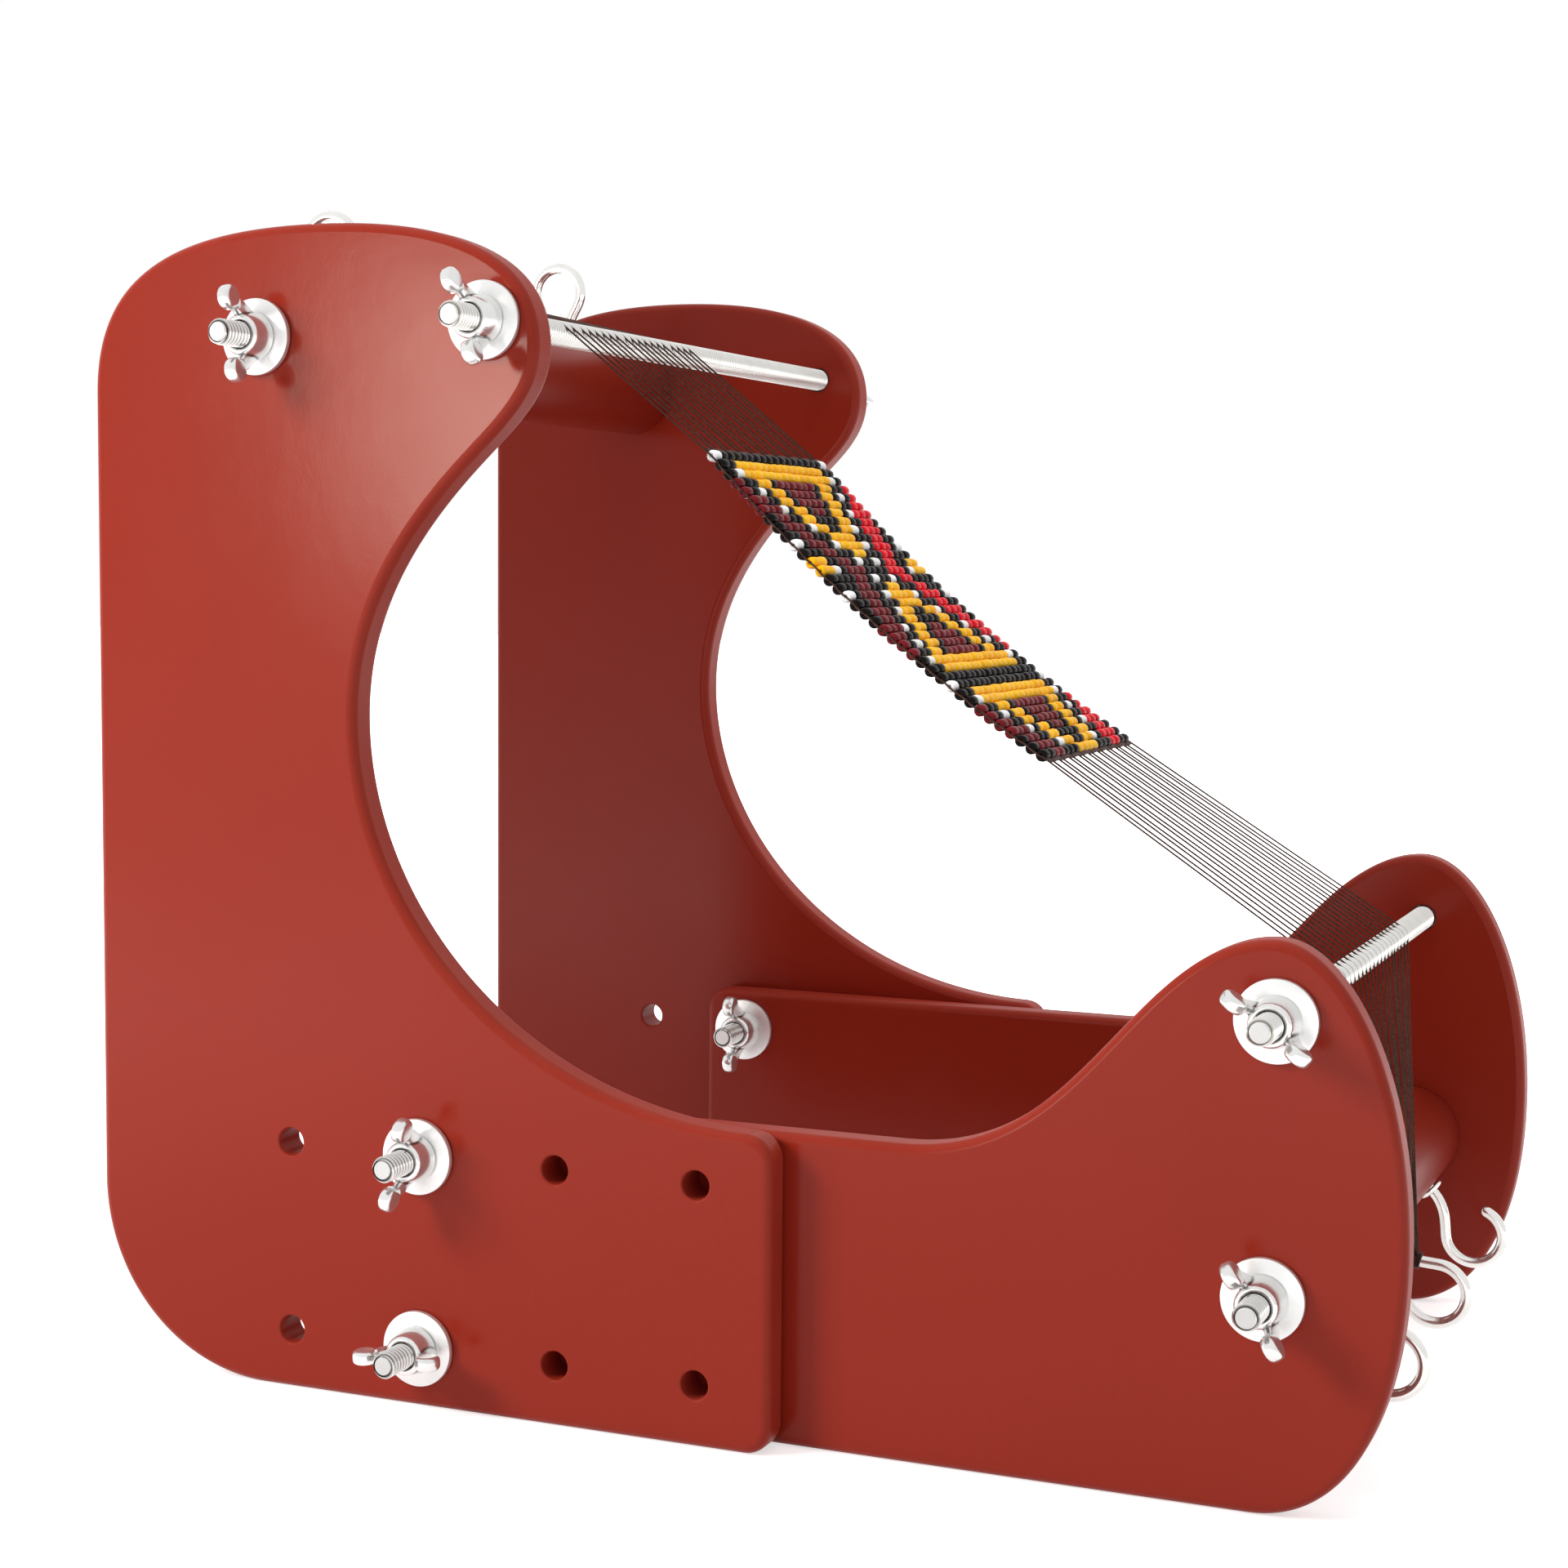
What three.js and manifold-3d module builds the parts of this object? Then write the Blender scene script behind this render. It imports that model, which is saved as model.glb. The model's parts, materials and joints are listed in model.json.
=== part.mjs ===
// Bead loom: two side frames, each of a tall rear panel bolted to a low front panel,
// joined by two hook bars and two threaded spacer rods, with a beaded strip on its warp.
// Millimetres. +X runs from the tall rear to the low front where the beader sits,
// +Y to the beader's right and +Z up. The origin is under the middle of the loom, on the table.
// While the pieces are laid out, X is counted from the rearmost column of bolt holes,
// Y from the middle plane and Z from the table.

import * as THREE from "three";
import { mergeVertices } from "three/addons/utils/BufferGeometryUtils.js";
import Module from "manifold-3d";

const wasm = await Module();
wasm.setup();

// Clearance between pieces that touch
const seat = 0.3;

// Side panels: sheet, its rounded edges, and the space between the two front panels
const sheetThickness = 9.5;
const edgeRound = 2.4;
const innerWidth = 178;
const tabCornerRadius = 6.5;

// Bolt holes where a front panel is fixed to a rear panel
const holeColumns = 4;
const columnPitch = 36.9;
const boltColumn = 1;
const lowRowHeight = 15;
const rowPitch = 47.6;
const holeDiameter = 7;

// Quarter-inch threaded rods and bolts
const rodDiameter = 6.35;
const rodStandout = 17.5;
const rodChamfer = 0.7;
const boltHeadDiameter = 14.4;
const boltHeadHeight = 3.8;

// Places of the two hook bars, and how far ahead of and above its bar each spacer rod lies
const rearBar = { x: -7.8, z: 261 };
const upperSpacerAhead = 63;
const upperSpacerRise = 2.4;
const frontBar = { x: 242.4, z: 48.8 };
const lowerSpacerAhead = 1.5;
const lowerSpacerRise = 61.2;

// Rear panel's outline: straight back, crown over the rear bar, nose and chin round the upper spacer,
// throat, and the tab with the bolt holes
const backMargin = 49.3;
const backBend = 40;
const heelRadius = 48;
const crownMargin = 27;
const crownSet = 14.8;
const noseMargin = 13.3;
const noseDrop = 6;
const chinInset = 19.3;
const chinDrop = 28;
const chinSlope = 0.95;
const throatX = 18.5;
const throatZ = 168.7;
const railHeight = 75.5;
const tabMargin = 19;
const tabFlat = 3;

// Front panel's outline: square tail, low rail, shoulder, horn round the lower spacer, and the toe
const tailMargin = 13.1;
const railStep = 0.8;
const shoulderRun = 24.073;
const shoulderInset = 30;
const shoulderDrop = 17.8;
const shoulderSlope = 1.09;
const hornMargin = 17.3;
const hornSet = 1.2;
const frontMargin = 30.7;
const widestHeight = 60;
const toeReach = 33.5;

// Hook bars and their screw-in hooks
const barDiameter = 26.7;
const barChamfer = 0.6;
const hooksPerBar = 3;
const hookPitch = 63.5;
const hookWire = 2.9;
const hookRing = 7.5;
const rearHookNeck = 14.8;
const frontHookNeck = 16.8;
const ringFrom = 215;
const ringTo = -20;
const hookShank = 8;
const collarDiameter = 7.2;
const collarHeight = 1.3;
const rearHookLean = -16;
const frontHookLean = 134.5;

// Washers and wing nuts
const washerDiameter = 18.65;
const washerThickness = 1.6;
const nutBaseDiameter = 11.8;
const nutTopDiameter = 9.4;
const nutHeight = 6.4;
const wingSpan = 23.6;
const wingHeight = 12.2;
const wingThickness = 3.4;
const paddleRadius = 3.1;

// Warp threads and the beaded strip on them
const threadDiameter = 0.6;
const warpThreads = 19;
const beadRows = 37;
const beadPitch = 3.04;
const beadDiameter = 3;
const columnWidth = 4;
const stripStart = 50.3;
const stripMiddle = -36.5;
const fanMiddle = 3;
const fanWidth = 90;
const headingDiameter = 1.2;
const tieShare = 0.5;
const tieLength = 2.6;
const tieWall = 1;

// Places that follow from the sizes above
const upperSpacer = { x: rearBar.x + upperSpacerAhead, z: rearBar.z + upperSpacerRise };
const lowerSpacer = { x: frontBar.x + lowerSpacerAhead, z: frontBar.z + lowerSpacerRise };
const frontInner = innerWidth / 2;
const frontOuter = frontInner + sheetThickness;
const rearInner = frontOuter + seat;
const rearOuter = rearInner + sheetThickness;
const boltX = boltColumn * columnPitch;
const rows = [lowRowHeight, lowRowHeight + rowPitch];
const boreRadius = rodDiameter / 2 + seat;
const degrees = Math.PI / 180;

const redSheet = new THREE.MeshStandardMaterial({ color: 0xa23c2e, roughness: 0.42, metalness: 0 });
const redBar = new THREE.MeshStandardMaterial({ color: 0x8e2f25, roughness: 0.5, metalness: 0 });
const zinc = new THREE.MeshStandardMaterial({ color: 0xc9ccce, roughness: 0.28, metalness: 1 });
const nickel = new THREE.MeshStandardMaterial({ color: 0xd8d9d8, roughness: 0.15, metalness: 1 });
const nylon = new THREE.MeshStandardMaterial({ color: 0xe8e4dc, roughness: 0.6, metalness: 0 });
const glassBead = new THREE.MeshStandardMaterial({ color: 0x241b1a, roughness: 0.2, metalness: 0 });

// A geometry as a solid that can be joined and cut, and back
function solid(geometry) {
  const plain = geometry.clone();
  plain.deleteAttribute("normal");
  plain.deleteAttribute("uv");
  const merged = mergeVertices(plain, 1e-4);
  const vertProperties = new Float32Array(merged.attributes.position.array);
  const triVerts = new Uint32Array(merged.index.array);
  return new wasm.Manifold(new wasm.Mesh({ numProp: 3, vertProperties, triVerts }));
}

function geometryOf(body) {
  const mesh = body.getMesh();
  const geometry = new THREE.BufferGeometry();
  geometry.setAttribute("position", new THREE.BufferAttribute(mesh.vertProperties, 3));
  geometry.setIndex(new THREE.BufferAttribute(mesh.triVerts, 1));
  geometry.computeVertexNormals();
  return geometry;
}

function joined(geometries) {
  return geometries.map(solid).reduce((whole, piece) => whole.add(piece));
}

function cut(body, geometries) {
  return geometries.reduce((whole, tool) => whole.subtract(solid(tool)), body);
}

function piece(name, geometry, material) {
  const mesh = new THREE.Mesh(geometry, material);
  mesh.name = name;
  return mesh;
}

// A closed outline from curves that follow each other, each with its own number of steps
function outline(curves) {
  const points = [];
  for (const [curve, steps] of curves) points.push(...curve.getPoints(steps).slice(0, -1));
  const apart = points.filter((p, i) => p.distanceTo(points[(i + 1) % points.length]) > 0.01);
  return new THREE.Shape(apart);
}

const at = (x, z) => new THREE.Vector2(x, z);
const line = (a, b) => [new THREE.LineCurve(a, b), 1];
const arc = (x, z, radius, from, to, steps) => [
  new THREE.EllipseCurve(x, z, radius, radius, from * degrees, to * degrees, to < from),
  steps,
];

// A bend from a to b round the corner c: each pull is the share of the way from that end to the corner
function bend(a, c, b, pullA, pullB, steps) {
  return [new THREE.CubicBezierCurve(a, a.clone().lerp(c, pullA), b.clone().lerp(c, pullB), b), steps];
}

// A round bar or hole along Y with its middle at x, z
function alongY(radius, length, sides, x, y, z) {
  return new THREE.CylinderGeometry(radius, radius, length, sides).translate(x, y, z);
}

// A rod along Y with chamfered ends
function rodGeometry(radius, length, chamfer, sides) {
  const half = length / 2;
  const profile = [
    [0, -half],
    [radius - chamfer, -half],
    [radius, -half + chamfer],
    [radius, half - chamfer],
    [radius - chamfer, half],
    [0, half],
  ];
  return new THREE.LatheGeometry(profile.map(([r, y]) => at(r, y)), sides);
}

// Rear panel: round heel, straight back, crown, nose over the warp, deep throat and a tab with holes
function rearOutline() {
  const backX = rearBar.x - backMargin;
  const crown = at(rearBar.x + crownSet, rearBar.z + crownMargin);
  const backTop = at(backX, crown.y - backBend);
  const nose = at(upperSpacer.x + noseMargin, upperSpacer.z - noseDrop);
  const chin = at(nose.x - chinInset, nose.y - chinDrop);
  const throat = at(throatX, throatZ);
  const tabX = (holeColumns - 1) * columnPitch + tabMargin;
  const tabTop = at(tabX - tabFlat, railHeight);
  const corner = Math.min(tabCornerRadius, tabMargin / 2);
  return outline([
    arc(backX + heelRadius, heelRadius, heelRadius, 270, 180, 9),
    line(at(backX, heelRadius), backTop),
    bend(backTop, at(backX, crown.y), crown, 0.69, 0.7, 8),
    bend(crown, at(nose.x, crown.y), nose, 0.45, 0.85, 9),
    bend(nose, at(nose.x, chin.y + chinInset * chinSlope), chin, 1.2, 0.52, 4),
    bend(chin, at(throatX, chin.y - (chin.x - throatX) * chinSlope), throat, 0.7, 0.68, 7),
    bend(throat, at(throatX, railHeight), tabTop, 0.5, 0.6, 12),
    arc(tabX - corner, railHeight - corner, corner, 90, 0, 3),
    line(at(tabX, railHeight - corner), at(tabX, corner)),
    arc(tabX - corner, corner, corner, 0, -90, 3),
    line(at(tabX - corner, 0), at(backX + heelRadius, 0)),
  ]);
}

// Front panel: square tail behind the bolts, low rail, and a horn that carries the front cross members
function frontOutline() {
  const tailX = boltX - tailMargin;
  const railZ = railHeight - railStep;
  const corner = Math.min(tabCornerRadius, tailMargin / 2);
  const horn = at(lowerSpacer.x - hornSet, lowerSpacer.z + hornMargin);
  const shoulder = at(horn.x - shoulderInset, horn.y - shoulderDrop);
  const frontX = frontBar.x + frontMargin;
  const widest = at(frontX, widestHeight);
  const toe = at(frontX - toeReach, 0);
  const shoulderFoot = at(shoulder.x - (shoulder.y - railZ) / shoulderSlope, railZ);
  const railEnd = at(shoulderFoot.x - shoulderRun, railZ);
  const shoulderTop = at(shoulder.x + shoulderDrop / shoulderSlope, horn.y);
  return outline([
    arc(tailX + corner, corner, corner, 270, 180, 3),
    line(at(tailX, corner), at(tailX, railZ - corner)),
    arc(tailX + corner, railZ - corner, corner, 180, 90, 3),
    line(at(tailX + corner, railZ), railEnd),
    bend(railEnd, shoulderFoot, shoulder, 1.15, 0.5, 6),
    bend(shoulder, shoulderTop, horn, 0.49, 0.87, 5),
    bend(horn, at(frontX, horn.y), widest, 0.49, 0.59, 9),
    bend(widest, at(frontX, 0), toe, 0.58, 0.66, 8),
    line(toe, at(tailX + corner, 0)),
  ]);
}

// A panel cut from sheet, its inner face at y = inner on the right side, or mirrored to the left
function panel(name, shape, inner, side, holes) {
  const edge = Math.min(edgeRound, sheetThickness / 2 - 0.5);
  const blank = new THREE.ExtrudeGeometry(shape, {
    depth: sheetThickness - 2 * edge,
    bevelThickness: edge,
    bevelSize: edge,
    bevelOffset: -edge,
    bevelSegments: 2,
    steps: 1,
  });
  blank.rotateX(Math.PI / 2);
  const middle = side * (inner + sheetThickness / 2);
  blank.translate(0, middle + sheetThickness / 2 - edge, 0);
  const drills = holes.map(([x, z]) => alongY(holeDiameter / 2, sheetThickness * 2, 12, x, middle, z));
  return piece(name, geometryOf(cut(solid(blank), drills)), redSheet);
}

// Hook bar: a round bar bored for its rod and drilled for the hooks' shanks
function hookPlaces() {
  const first = (-(hooksPerBar - 1) / 2) * hookPitch;
  return Array.from({ length: hooksPerBar }, (_, i) => first + i * hookPitch);
}

function hookBar(name, half, place, lean) {
  const body = solid(rodGeometry(barDiameter / 2, 2 * half, barChamfer, 24));
  const tools = [alongY(boreRadius, 2 * half + 2, 10, 0, 0, 0)];
  for (const y of hookPlaces()) {
    const pilot = new THREE.CylinderGeometry(hookWire / 2 + seat, hookWire / 2 + seat, hookShank * 2, 6);
    pilot.rotateX(Math.PI / 2).translate(0, 0, barDiameter / 2);
    tools.push(pilot.rotateY(lean * degrees).translate(0, y, 0));
  }
  const bar = piece(name, geometryOf(cut(body, tools)), redBar);
  bar.position.set(place.x, 0, place.z);
  return bar;
}

// A point at an angle on a cup hook's ring, or ahead of it by a reach along the tangent
function onRing(neck, a, reach = 0) {
  const x = hookRing * Math.cos(a) - reach * Math.sin(a);
  return new THREE.Vector3(x, 0, neck + hookRing * Math.sin(a) + reach * Math.cos(a));
}

// A cup hook's neck in its own plane: out of the collar and aside to the start of the ring
function neckCurve(neck) {
  return new THREE.CubicBezierCurve3(
    new THREE.Vector3(0, 0, collarHeight / 2),
    new THREE.Vector3(0, 0, neck * 0.4),
    onRing(neck, ringFrom * degrees, hookRing * 0.45),
    onRing(neck, ringFrom * degrees),
  );
}

// Path of the whole wire: the neck, then round most of the ring
function hookPath(neck) {
  const start = ringFrom * degrees;
  const end = ringTo * degrees;
  const points = neckCurve(neck).getPoints(5);
  for (let i = 1; i <= 12; i++) points.push(onRing(neck, start + ((end - start) * i) / 12));
  return new THREE.CatmullRomCurve3(points);
}

function roundSection(radius, sides) {
  const points = [];
  for (let i = 0; i < sides; i++) {
    const a = (2 * Math.PI * i) / sides;
    points.push(at(radius * Math.cos(a), radius * Math.sin(a)));
  }
  return new THREE.Shape(points);
}

// A screw-in hook: shank in the bar, collar on the bar's surface, ring of bent wire. Its foot is at z = 0.
function hookGeometry(neck) {
  const wire = new THREE.ExtrudeGeometry(roundSection(hookWire / 2, 7), {
    extrudePath: hookPath(neck),
    steps: 18,
    bevelEnabled: false,
  });
  const rim = collarDiameter / 2;
  const collar = new THREE.LatheGeometry(
    [at(0, 0), at(rim, 0), at(rim, collarHeight * 0.5), at(rim * 0.6, collarHeight), at(0, collarHeight)],
    10,
  );
  const shank = new THREE.CylinderGeometry(hookWire / 2, hookWire * 0.36, hookShank, 6);
  shank.translate(0, collarHeight / 2 - hookShank / 2, 0);
  const upright = [collar, shank].map((g) => g.rotateX(Math.PI / 2));
  return geometryOf(joined([wire, ...upright]));
}

// Hooks stand on their bar; a turned hook has its opening on the other side
function hooks(prefix, place, neck, lean, turned) {
  const names = ["left", "middle", "right"];
  const group = new THREE.Group();
  hookPlaces().forEach((y, i) => {
    const label = hooksPerBar === names.length ? names[i] : String(i + 1);
    const hook = piece(prefix + "_hook_" + label, hookGeometry(neck), nickel);
    hook.position.z = barDiameter / 2 + seat;
    hook.rotation.z = turned(i) ? Math.PI : 0;
    const stand = new THREE.Group();
    stand.rotation.y = lean * degrees;
    stand.position.set(place.x, y, place.z);
    stand.add(hook);
    group.add(stand);
  });
  return group;
}

// Washer and wing nut, drawn with their axis along +Z and the side towards the panel at z = 0
function washerGeometry() {
  const blank = new THREE.LatheGeometry(
    [
      at(holeDiameter / 2, 0),
      at(washerDiameter / 2, 0),
      at(washerDiameter / 2, washerThickness),
      at(holeDiameter / 2, washerThickness),
      at(holeDiameter / 2, 0),
    ],
    16,
  );
  return blank.rotateX(Math.PI / 2);
}

// One wing seen from the side: a root on the hub that sweeps out and up into a round paddle
function wingShape() {
  const paddleX = wingSpan / 2 - paddleRadius;
  const paddleZ = wingHeight - paddleRadius;
  const wing = new THREE.Shape();
  wing.moveTo(boreRadius + 0.6, 1);
  wing.lineTo(nutBaseDiameter / 2, 1);
  wing.quadraticCurveTo(paddleX + 0.2, 2.2, paddleX + paddleRadius, paddleZ);
  wing.absarc(paddleX, paddleZ, paddleRadius, 0, 200 * degrees, false);
  wing.quadraticCurveTo(nutTopDiameter / 2 + 0.6, nutHeight * 0.82, boreRadius + 0.6, nutHeight * 0.82);
  return wing;
}

function wingNutGeometry() {
  const bevel = 0.5;
  const hub = new THREE.LatheGeometry(
    [
      at(0, 0),
      at(nutBaseDiameter / 2 - 0.4, 0),
      at(nutBaseDiameter / 2, 0.5),
      at(nutTopDiameter / 2, nutHeight),
      at(0, nutHeight),
    ],
    12,
  ).rotateX(Math.PI / 2);
  const wing = new THREE.ExtrudeGeometry(wingShape(), {
    depth: wingThickness - 2 * bevel,
    bevelThickness: bevel,
    bevelSize: bevel,
    bevelOffset: -bevel,
    bevelSegments: 1,
    curveSegments: 2,
    steps: 1,
  });
  wing.translate(0, 0, bevel - wingThickness / 2).rotateX(Math.PI / 2);
  const other = wing.clone().rotateZ(Math.PI);
  const bore = new THREE.CylinderGeometry(boreRadius, boreRadius, nutHeight * 3, 10).rotateX(Math.PI / 2);
  return geometryOf(cut(joined([hub, wing, other]), [bore]));
}

const washer = washerGeometry();
const wingNut = wingNutGeometry();

// A washer and its wing nut on a rod's end: y is the face they rest on, outward the way the rod points
function fastener(name, place, y, outward, wingAngle) {
  const group = new THREE.Group();
  group.position.set(place.x, y, place.z);
  group.rotation.x = (-outward * Math.PI) / 2;
  const ring = piece(name + "_washer", washer, zinc);
  ring.position.z = seat;
  const nut = piece(name + "_wing_nut", wingNut, zinc);
  nut.position.z = seat + washerThickness + seat;
  nut.rotation.z = wingAngle * degrees;
  group.add(ring, nut);
  return group;
}

// A threaded rod through both sides, with its ends standing out beyond the wing nuts
function crossRod(name, place, outer) {
  const length = 2 * (outer + rodStandout);
  const rod = piece(name, rodGeometry(rodDiameter / 2, length, rodChamfer, 12), zinc);
  rod.position.set(place.x, 0, place.z);
  return rod;
}

// A round-headed bolt through a rear and a front panel: y is the face under its head
function jointBolt(name, z, y, outward) {
  const stack = rearOuter - frontInner;
  const shankLength = stack + seat + rodStandout;
  const edge = boltHeadDiameter / 2;
  const profile = [
    [0, -boltHeadHeight],
    [edge * 0.55, -boltHeadHeight * 0.88],
    [edge * 0.85, -boltHeadHeight * 0.55],
    [edge, -boltHeadHeight * 0.12],
    [edge, 0],
    [rodDiameter / 2, 0],
    [rodDiameter / 2, shankLength - rodChamfer],
    [rodDiameter / 2 - rodChamfer, shankLength],
    [0, shankLength],
  ];
  const body = new THREE.LatheGeometry(profile.map(([r, h]) => at(r, h)), 10).rotateX(Math.PI / 2);
  const bolt = piece(name, body, zinc);
  bolt.rotation.x = (-outward * Math.PI) / 2;
  bolt.position.set(boltX, y - outward * seat, z);
  return bolt;
}

// Straight run of thread between two points
function thread(a, b) {
  const run = new THREE.Vector3().subVectors(b, a);
  const geometry = new THREE.CylinderGeometry(threadDiameter / 2, threadDiameter / 2, run.length(), 3);
  const upright = new THREE.Vector3(0, 1, 0);
  geometry.applyQuaternion(new THREE.Quaternion().setFromUnitVectors(upright, run.clone().normalize()));
  const middle = new THREE.Vector3().addVectors(a, b).multiplyScalar(0.5);
  return geometry.translate(middle.x, middle.y, middle.z);
}

// The warp lies on the tops of the two spacer rods: its own frame has x along it and z square to it
const warpRun = Math.hypot(lowerSpacer.x - upperSpacer.x, upperSpacer.z - lowerSpacer.z);
const warpSlope = Math.atan2(upperSpacer.z - lowerSpacer.z, lowerSpacer.x - upperSpacer.x);
const warpLift = rodDiameter / 2 + seat + threadDiameter / 2;
const stripLength = beadRows * beadPitch;
const stripWidth = (warpThreads - 1) * columnWidth;
const upperHeading = stripStart - seat - headingDiameter / 2;
const lowerHeading = stripStart + stripLength + seat + headingDiameter / 2;

function spread(middle, width) {
  return Array.from({ length: warpThreads }, (_, i) => middle + (i / (warpThreads - 1) - 0.5) * width);
}

const onStrip = spread(stripMiddle, stripWidth);
const onLowerSpacer = spread(fanMiddle, fanWidth);

function heading(x, width, y) {
  return alongY(headingDiameter / 2, width + threadDiameter * 2, 6, x, y, 0);
}

// Beaded strip: each row of beads is a rounded rib across the warp
function beadStrip() {
  const radius = beadDiameter / 2;
  const half = beadPitch / 2;
  const ribSteps = 2;
  const dip = Math.asin(half / Math.max(radius, half * 1.02));
  const profile = new THREE.Shape();
  const rib = (centre, from, to) => {
    for (let k = 0; k <= ribSteps; k++) {
      const a = from + ((to - from) * k) / ribSteps;
      profile.lineTo(centre + half * Math.sin(a) / Math.sin(dip), radius * Math.cos(a));
    }
  };
  const centre = (row) => stripStart + (row + 0.5) * beadPitch;
  profile.moveTo(stripStart, radius * Math.cos(dip));
  for (let row = 0; row < beadRows; row++) rib(centre(row), -dip, dip);
  for (let row = beadRows - 1; row >= 0; row--) rib(centre(row), Math.PI - dip, Math.PI + dip);
  const points = profile.getPoints();
  const apart = points.filter((p, i) => p.distanceTo(points[(i + 1) % points.length]) > 0.02);
  const strip = new THREE.ExtrudeGeometry(new THREE.Shape(apart), {
    depth: stripWidth,
    steps: 1,
    bevelEnabled: false,
  });
  strip.rotateX(Math.PI / 2).translate(0, stripMiddle + stripWidth / 2, 0);
  return piece("bead_strip", strip, glassBead);
}

function warpGroup() {
  const inWarp = (x, y) => new THREE.Vector3(x, y, 0);
  const upper = onStrip.map((y) => thread(inWarp(0, y), inWarp(upperHeading, y)));
  const lower = onStrip.map((y, i) => thread(inWarp(lowerHeading, y), inWarp(warpRun, onLowerSpacer[i])));
  const upperBar = heading(upperHeading, stripWidth, stripMiddle);
  const lowerBar = heading(lowerHeading, stripWidth, stripMiddle);
  const group = new THREE.Group();
  group.add(
    piece("upper_warp", geometryOf(joined([upperBar, ...upper])), nylon),
    piece("lower_warp", geometryOf(joined([lowerBar, ...lower])), nylon),
    beadStrip(),
  );
  group.rotation.y = warpSlope;
  group.position.set(
    upperSpacer.x + warpLift * Math.sin(warpSlope),
    0,
    upperSpacer.z + warpLift * Math.cos(warpSlope),
  );
  return group;
}

// Where the thread is tied on a hook's neck, and the neck's tangent there, in the XZ plane
function tie(place, neck, lean, side) {
  const curve = neckCurve(neck);
  const knot = curve.getPoint(tieShare);
  const ahead = curve.getTangent(tieShare);
  const local = at(side * knot.x, barDiameter / 2 + seat + knot.z);
  const tangent = at(side * ahead.x, ahead.z);
  const turn = -lean * degrees;
  const world = local.clone().rotateAround(at(0, 0), turn);
  return {
    point: world.add(at(place.x, place.z)),
    tangent: tangent.rotateAround(at(0, 0), turn),
  };
}

// A bundle of warp tails: a whipping round the hook's wire, and threads from it to a spacer rod
function tailBundle(name, hook, hookY, rod, rodYs) {
  const inner = hookWire / 2 + seat;
  const outer = inner + tieWall;
  const end = tieLength / 2;
  const ring = [at(inner, -end), at(outer, -end), at(outer, end), at(inner, end), at(inner, -end)];
  const whipping = new THREE.LatheGeometry(ring, 10);
  whipping.rotateX(Math.PI / 2);
  whipping.rotateY(Math.atan2(hook.tangent.x, hook.tangent.y));
  whipping.translate(hook.point.x, hookY, hook.point.y);
  const toHook = at(hook.point.x - rod.x, hook.point.y - rod.z);
  const swing = Math.acos(warpLift / toHook.length());
  const topSide = toHook.x < 0 ? -1 : 1;
  const normal = toHook.clone().normalize().rotateAround(at(0, 0), topSide * swing);
  const contact = at(rod.x + warpLift * normal.x, rod.z + warpLift * normal.y);
  const away = at(contact.x - hook.point.x, contact.y - hook.point.y).normalize();
  const root = at(hook.point.x, hook.point.y).addScaledVector(away, inner + tieWall / 2);
  const threads = rodYs.map((y) =>
    thread(new THREE.Vector3(root.x, hookY, root.y), new THREE.Vector3(contact.x, y, contact.y)),
  );
  return piece(name, geometryOf(joined([whipping, ...threads])), nylon);
}

function tails() {
  const rear = tie(rearBar, rearHookNeck, rearHookLean, -1);
  const front = tie(frontBar, frontHookNeck, frontHookLean, 1);
  const group = new THREE.Group();
  const half = Math.ceil(warpThreads / 2);
  group.add(
    tailBundle("rear_tail_left", rear, -hookPitch, upperSpacer, onStrip.slice(0, half)),
    tailBundle("rear_tail_middle", rear, 0, upperSpacer, onStrip.slice(half)),
    tailBundle("front_tail", front, 0, lowerSpacer, onLowerSpacer),
  );
  return group;
}

// The whole loom
const loom = new THREE.Group();
const middleOf = (place) => [place.x, place.z];
const rearHoles = [rearBar, upperSpacer].map(middleOf);
for (let column = 0; column < holeColumns; column++)
  for (const z of rows) rearHoles.push([column * columnPitch, z]);
const frontHoles = [frontBar, lowerSpacer].map(middleOf);
for (const z of rows) frontHoles.push([boltX, z]);

for (const [label, side] of [["left", -1], ["right", 1]]) {
  loom.add(panel(label + "_rear_panel", rearOutline(), rearInner, side, rearHoles));
  loom.add(panel(label + "_front_panel", frontOutline(), frontInner, side, frontHoles));
}

loom.add(
  hookBar("rear_hook_bar", rearInner - seat, rearBar, rearHookLean),
  hookBar("front_hook_bar", frontInner - seat, frontBar, frontHookLean),
  hooks("rear", rearBar, rearHookNeck, rearHookLean, () => true),
  hooks("front", frontBar, frontHookNeck, frontHookLean, (i) => i === hooksPerBar - 1),
  crossRod("rear_bar_rod", rearBar, rearOuter),
  crossRod("upper_spacer_rod", upperSpacer, rearOuter),
  crossRod("lower_spacer_rod", lowerSpacer, frontOuter),
  crossRod("front_bar_rod", frontBar, frontOuter),
  warpGroup(),
  tails(),
);

// Wing angles on the left and right ends of each rod, then at the two bolts of each side
const rodEnds = [
  ["rear_bar", rearBar, rearOuter, 96, 70],
  ["upper_spacer", upperSpacer, rearOuter, 108, 35],
  ["lower_spacer", lowerSpacer, frontOuter, 144, 110],
  ["front_bar", frontBar, frontOuter, 122, 15],
];
for (const [name, place, outer, leftAngle, rightAngle] of rodEnds)
  loom.add(
    fastener("left_" + name, place, -outer, -1, leftAngle),
    fastener("right_" + name, place, outer, 1, rightAngle),
  );

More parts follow.
